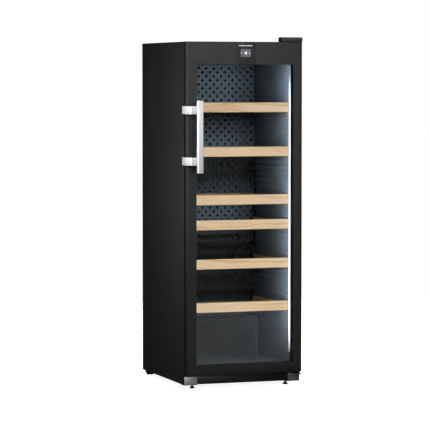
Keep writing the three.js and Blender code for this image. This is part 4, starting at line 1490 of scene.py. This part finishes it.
@dataclass
class LeverHandle:
    """Bar handle on two levers that pivot in mounts on the door's side."""

    levels: tuple[float, float] = (1100.5, 1345.0)
    half: float = 19.0
    pivot: tuple[float, float] = (-4.2, 5.0)
    knuckle: float = 10.5
    bar: Span = (1044.5, 1390.0)

    def build(self) -> None:
        """Makes the bar, levers and mounts."""
        section = [
            (40.3, -46.0), (40.3, -55.0), (46.0, -61.0), (48.5, -62.0), (66.0, -62.0), (68.0, -60.0),
            (68.0, -47.5), (66.5, -46.0),
        ]
        points = [(x, y, self.bar[0]) for x, y in section]
        grip = Part().outline(points, (0, 0, self.bar[1] - self.bar[0]), 0.7, 3)
        grip.place("grip_bar", FINISH.handle_metal, "handle", "satin_aluminium", ["handle_bar"], 25.0)
        for end, level in zip(("lower", "upper"), self.levels):
            self.lever(end, level)
            self.mount(end, level)

    def lever(self, end: str, level: float) -> None:
        """Lever arm with its knuckle round the pin."""
        outline = [
            (-8, -0.2), (-8, -8), (8, -50), (11, -53), (15, -54), (40, -54), (40, -46), (19, -46), (15, -44),
            (-0.6, -6), (-0.6, -0.2),
        ]
        points = [(x, y, level - self.half) for x, y in outline]
        arm = Part().outline(points, (0, 0, 2 * self.half), 0.8, 3)
        x, y = self.pivot
        arm.rod(Axis.Z, (x, y, level), 2 * self.knuckle, 3.8, 28, 0.3)
        arm.box((x - 3.4, x + 3.4), (-1.5, y), (level - self.knuckle, level + self.knuckle), 0.3)
        node = f"handle_lever_{end}"
        arm.place(f"lever_arm_{end}", FINISH.arm_metal, "handle", "satin_aluminium", [node], 25.0)

    def mount(self, end: str, level: float) -> None:
        """Block on the door's side with two cheeks and the pin between them."""
        block = Part().box((-8, -0.3), (10, 33), (level - self.half, level + self.half), 0.9, 3)
        clear = self.knuckle + 0.3
        for low, high in ((level - self.half, level - clear), (level + clear, level + self.half)):
            block.box((-8, -0.3), (1, 12), (low, high), 0.7, 3)
        node = f"handle_mount_{end}"
        block.place(f"lever_mount_{end}", FINISH.arm_metal, "door", "satin_aluminium", [node], 25.0)
        pin = Part().rod(Axis.Z, (*self.pivot, level), 2 * self.half - 2, 1.9, 20, 0.2)
        pin.place(f"lever_pin_{end}", FINISH.pin_steel, "door", "bright_steel")


@dataclass
class Shelf:
    """Sliding beech shelf: a front board and a slatted deck, or an open bottle frame."""

    number: int
    level: float
    open_frame: bool
    across: Span = (50.5, 546.5)
    front: float = 65.0
    thick: float = 20.0
    height: float = 46.4
    rear: float = 520.0
    ease: float = 1.8
    rail: tuple[float, float] = (2.0, 16.0)
    slats: int = 7
    slat_depth: float = 38.0
    lowest_rib: float = 370.4
    rib_pitch: float = 30.1
    rib_half: float = 4.0
    peg_places: Span = (105.0, 490.0)
    cabinet_width: float = 597.0

    @classmethod
    def from_frame(cls, number: int) -> "Shelf":
        """Shelf at the height of its packed front board."""
        low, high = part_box(f"shelf_{number}_front")
        return cls(number, (low.z + high.z) / 2 / MM, f"shelf_{number}_frame" in frame["nodes"])

    def build(self) -> None:
        """Makes the board and what is behind it."""
        body = f"shelf_{self.number}"
        z = (self.level - self.height / 2, self.level + self.height / 2)
        board = Part().box(self.across, (self.front, self.front + self.thick), z, self.ease, 4)
        board.place(f"{body}_board", FINISH.wood, body, "beech", [f"{body}_front"])
        deck = self.rails()
        self.pegs(deck, body)
        start = self.front + self.thick + 0.3
        left, right = self.across[0] + self.rail[0] + 8, self.across[1] - self.rail[0] - 8
        if self.open_frame:
            rear_rail = (self.rear - self.thick, self.rear)
            deck.box((left, right), rear_rail, (self.level - 20, self.level + 10), 1.2, 3)
        else:
            first = start + 6
            step = (self.rear - first - self.slat_depth - 6) / (self.slats - 1)
            for i in range(self.slats):
                y = first + i * step
                slat = (self.level - self.height / 2, self.level - 15)
                deck.box((left, right), (y, y + self.slat_depth), slat, 1.5, 3)
        kind = "frame" if self.open_frame else "deck"
        deck.place(f"{body}_{kind}_slats", FINISH.wood, body, "beech", [f"{body}_{kind}"])

    def rails(self) -> Part:
        """Two side rails."""
        part = Part()
        inset, wide = self.rail
        for left in (self.across[0] + inset, self.across[1] - inset - wide):
            depth = (self.front + self.thick + 0.3, self.rear)
            part.box((left, left + wide), depth, (self.level - 20, self.level + 10), 1.2, 3)
        return part

    def pegs(self, part: Part, body: str) -> None:
        """Pegs that ride on the liner's ribs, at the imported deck's height."""
        kind = "frame" if self.open_frame else "deck"
        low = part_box(f"{body}_{kind}")[0]
        reach = DATUM.matrix.inverted() @ low
        steps = math.floor((self.level - 8 - self.rib_half - self.lowest_rib) / self.rib_pitch)
        base = self.lowest_rib + steps * self.rib_pitch + self.rib_half + 0.3
        for y in self.peg_places:
            part.box((reach.x, self.across[0] + 4), (y, y + 10), (base, base + 8), 0.5)
            right = (self.across[1] - 4, self.cabinet_width - reach.x)
            part.box(right, (y, y + 10), (base, base + 8), 0.5)


# ------------------------------------------------------------------ studio
@dataclass(frozen=True)
class Softbox:
    """Rectangular area light aimed at a point."""

    name: str
    place: Point
    aim: Point
    size: tuple[float, float]
    power: float
    seen_in_gloss: bool = True
    lights_matt: bool = True
    only: tuple[str, ...] = ()
    spread: float = 180.0

    def build(self) -> None:
        """Hangs the light, and limits it to the pieces it is meant for."""
        lamp = bpy.data.lights.new(self.name, "AREA")
        lamp.shape = "RECTANGLE"
        lamp.size, lamp.size_y = self.size
        lamp.energy = self.power
        lamp.spread = math.radians(self.spread)
        held = bpy.data.objects.new(self.name, lamp)
        bpy.context.scene.collection.objects.link(held)
        held.location = self.place
        held.rotation_mode = "QUATERNION"
        held.rotation_quaternion = (Vector(self.aim) - Vector(self.place)).to_track_quat("-Z", "Y")
        held.visible_glossy = self.seen_in_gloss
        held.visible_diffuse = self.lights_matt
        held.visible_transmission = False
        held.visible_camera = False
        if self.only:
            lit = bpy.data.collections.new(f"{self.name}_lit")
            for piece in bpy.data.objects:
                if piece.type == "MESH" and piece.name.startswith(self.only):
                    lit.objects.link(piece)
            held.light_linking.receiver_collection = lit


@dataclass
class Studio:
    """Pale floor, soft light and the camera."""

    floor_size: float = 8.0
    camera_place: Point = (-3.84618, -11.04884, 1.48825)
    camera_dip: float = 0.0569068
    camera_swing: float = -0.331985
    lens: float = 198.247
    gloss_world: float = 0.03
    softboxes: Sequence[Softbox] = field(
        default_factory=lambda: (
            Softbox("front_fill", (1.6, -4.8, 3.6), (0.0, -0.3, 1.0), (2.4, 2.0), 160.0, seen_in_gloss=False),
            Softbox("top_bank", (0.0, -1.0, 5.0), (0.0, 0.0, 0.8), (5.0, 5.0), 260.0, seen_in_gloss=False),
            Softbox(
                "door_glow", (2.3, -7.6, 2.4), (0.0, -0.38, 1.5), (3.4, 1.6), 74.0, lights_matt=False,
                only=("door_rim", "hinge_cap", "plain_badge_bar"),
            ),
            Softbox(
                "door_left", (-0.8, -1.7, 1.75), (-0.3, 0.0, 1.3), (0.5, 0.7), 76.0, seen_in_gloss=False,
                only=("door_rim", "control_strip"),
            ),
            Softbox("door_edge", (-2.0, -2.4, 1.35), (-0.3, -0.3, 1.2), (0.6, 1.5), 30.0, only=("door_rim",)),
            Softbox(
                "side_wash", (-1.1, -1.0, 1.1), (-0.3, 0.0, 1.05), (0.5, 0.9), 80.0, seen_in_gloss=False,
                only=("side_sheet_left",),
            ),
            Softbox(
                "handle_left", (-2.4, -0.5, 1.5), (-0.3, -0.36, 1.2), (1.2, 1.6), 54.0,
                only=("grip_bar", "lever_"),
            ),
            Softbox(
                "handle_front", (0.9, -3.6, 1.7), (-0.3, -0.36, 1.2), (2.4, 2.4), 20.0,
                only=("grip_bar", "lever_"),
            ),
            Softbox(
                "foot_glow", (-0.6, -3.0, 0.5), (0.0, -0.28, 0.04), (2.0, 0.8), 60.0,
                only=("foot_plate", "hinge_plate_lower"),
            ),
            Softbox(
                "plinth_glow", (-0.6, -3.0, 0.5), (0.0, -0.28, 0.04), (2.0, 0.8), 27.0,
                only=("plinth_strip",),
            ),
            Softbox(
                "wall_wash", (0.14, -0.42, 0.95), (0.26, -0.24, 0.95), (0.05, 1.4), 6.0, seen_in_gloss=False,
                only=("ribbed_liner",), spread=80.0,
            ),
            Softbox(
                "duct_wash", (0.32, -1.3, 1.54), (-0.05, 0.23, 1.46), (0.4, 0.3), 33.0, seen_in_gloss=False,
                only=("perforated_panel",),
            ),
        )
    )

    def build(self) -> None:
        """Sets up everything that isn't the wine cooler."""
        self.world()
        self.floor()
        for box in self.softboxes:
            box.build()
        self.camera()

    def world(self) -> None:
        """White surroundings to the eye, dim ones for light and gloss."""
        made = bpy.data.worlds.new("studio")
        made.use_nodes = True
        tree = made.node_tree
        seen = tree.nodes["Background"]
        seen.inputs["Color"].default_value = (1.0, 1.0, 1.0, 1.0)
        seen.inputs["Strength"].default_value = 1.0
        dim = tree.nodes.new("ShaderNodeBackground")
        dim.inputs["Color"].default_value = (0.9, 0.95, 1.0, 1.0)
        dim.inputs["Strength"].default_value = self.gloss_world
        path = tree.nodes.new("ShaderNodeLightPath")
        mix = tree.nodes.new("ShaderNodeMixShader")
        tree.links.new(path.outputs["Is Camera Ray"], mix.inputs[0])
        tree.links.new(dim.outputs[0], mix.inputs[1])
        tree.links.new(seen.outputs[0], mix.inputs[2])
        tree.links.new(mix.outputs[0], tree.nodes["World Output"].inputs["Surface"])
        bpy.context.scene.world = made
        bpy.context.scene.view_settings.view_transform = "Standard"

    def floor(self) -> None:
        """Wide matt floor that gloss doesn't pick up."""
        bm = bmesh.new()
        bmesh.ops.create_grid(bm, x_segments=1, y_segments=1, size=self.floor_size / 2)
        mesh = bpy.data.meshes.new("studio_floor")
        bm.to_mesh(mesh)
        bm.free()
        made = bpy.data.objects.new("studio_floor", mesh)
        bpy.context.scene.collection.objects.link(made)
        graph = Graph("pale_floor")
        graph.set(
            base_color=(0.85, 0.85, 0.85),
            roughness=0.9,
            specular_ior_level=0.0,
            emission_color=(1.0, 1.0, 1.0),
            emission_strength=0.92,
        )
        mesh.materials.append(graph.material)
        made.visible_glossy = False
        made.visible_diffuse = False

    def camera(self) -> None:
        """Long lens to the left of the door, above its middle and dipped a little."""
        data = bpy.data.cameras.new("studio_camera")
        data.lens = self.lens
        data.sensor_width = 36.0
        data.clip_end = 200.0
        data.dof.use_dof = False
        made = bpy.data.objects.new("studio_camera", data)
        bpy.context.scene.collection.objects.link(made)
        made.location = self.camera_place
        made.rotation_euler = (math.pi / 2 - self.camera_dip, 0.0, self.camera_swing)
        bpy.context.scene.camera = made


def evaporator() -> FinnedCoil:
    """Cold coil behind the duct panel."""
    return FinnedCoil(
        "evaporator",
        "cold_coil",
        "coil_aluminium",
        across=(470.0, 120.0),
        depth=(564.0, 620.0),
        lowest=1200.0,
        pitch=55.0,
        rows=4,
        fin_top=1390.0,
        fins=36,
        fin_finish=FINISH.fin_metal,
        tube_finish=FINISH.pin_steel,
        tail=1176.0,
    )


def condenser() -> FinnedCoil:
    """Warm coil in the machine compartment."""
    return FinnedCoil(
        "condenser",
        "warm_coil",
        "motor_enamel",
        across=(252.0, 420.0),
        depth=(566.0, 676.0),
        lowest=86.0,
        pitch=34.0,
        rows=4,
        fin_top=206.0,
        fins=26,
        fin_finish=FINISH.enamel,
        tube_finish=FINISH.enamel,
    )


def undressed() -> list[str]:
    """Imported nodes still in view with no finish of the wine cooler's own."""
    bare_nodes = 4
    own = {m.name for m in bpy.data.materials if m.use_nodes and len(m.node_tree.nodes) > bare_nodes}
    left = []
    for name, held in frame["nodes"].items():
        if not held.hide_render and not {m.name for m in held.data.materials if m} & own:
            left.append(name)
    return left


def main() -> None:
    """Builds the sub-assemblies in order, then the studio."""
    logging.basicConfig(level=logging.INFO, format="%(name)s %(message)s")
    shelves = [Shelf.from_frame(number) for number in range(1, 7)]
    parts = [
        CabinetShell(), DuctPanel(), evaporator(), Fan(), Base(), Hinges(), MachineRoom(), condenser(),
        Door(), LeverHandle(), *shelves, Studio(),
    ]
    for part in parts:
        log.info("building %s", type(part).__name__)
        part.build()
    bare = undressed()
    if bare:
        log.warning("no finish yet on %s", ", ".join(bare))


if __name__ == "__main__":
    main()
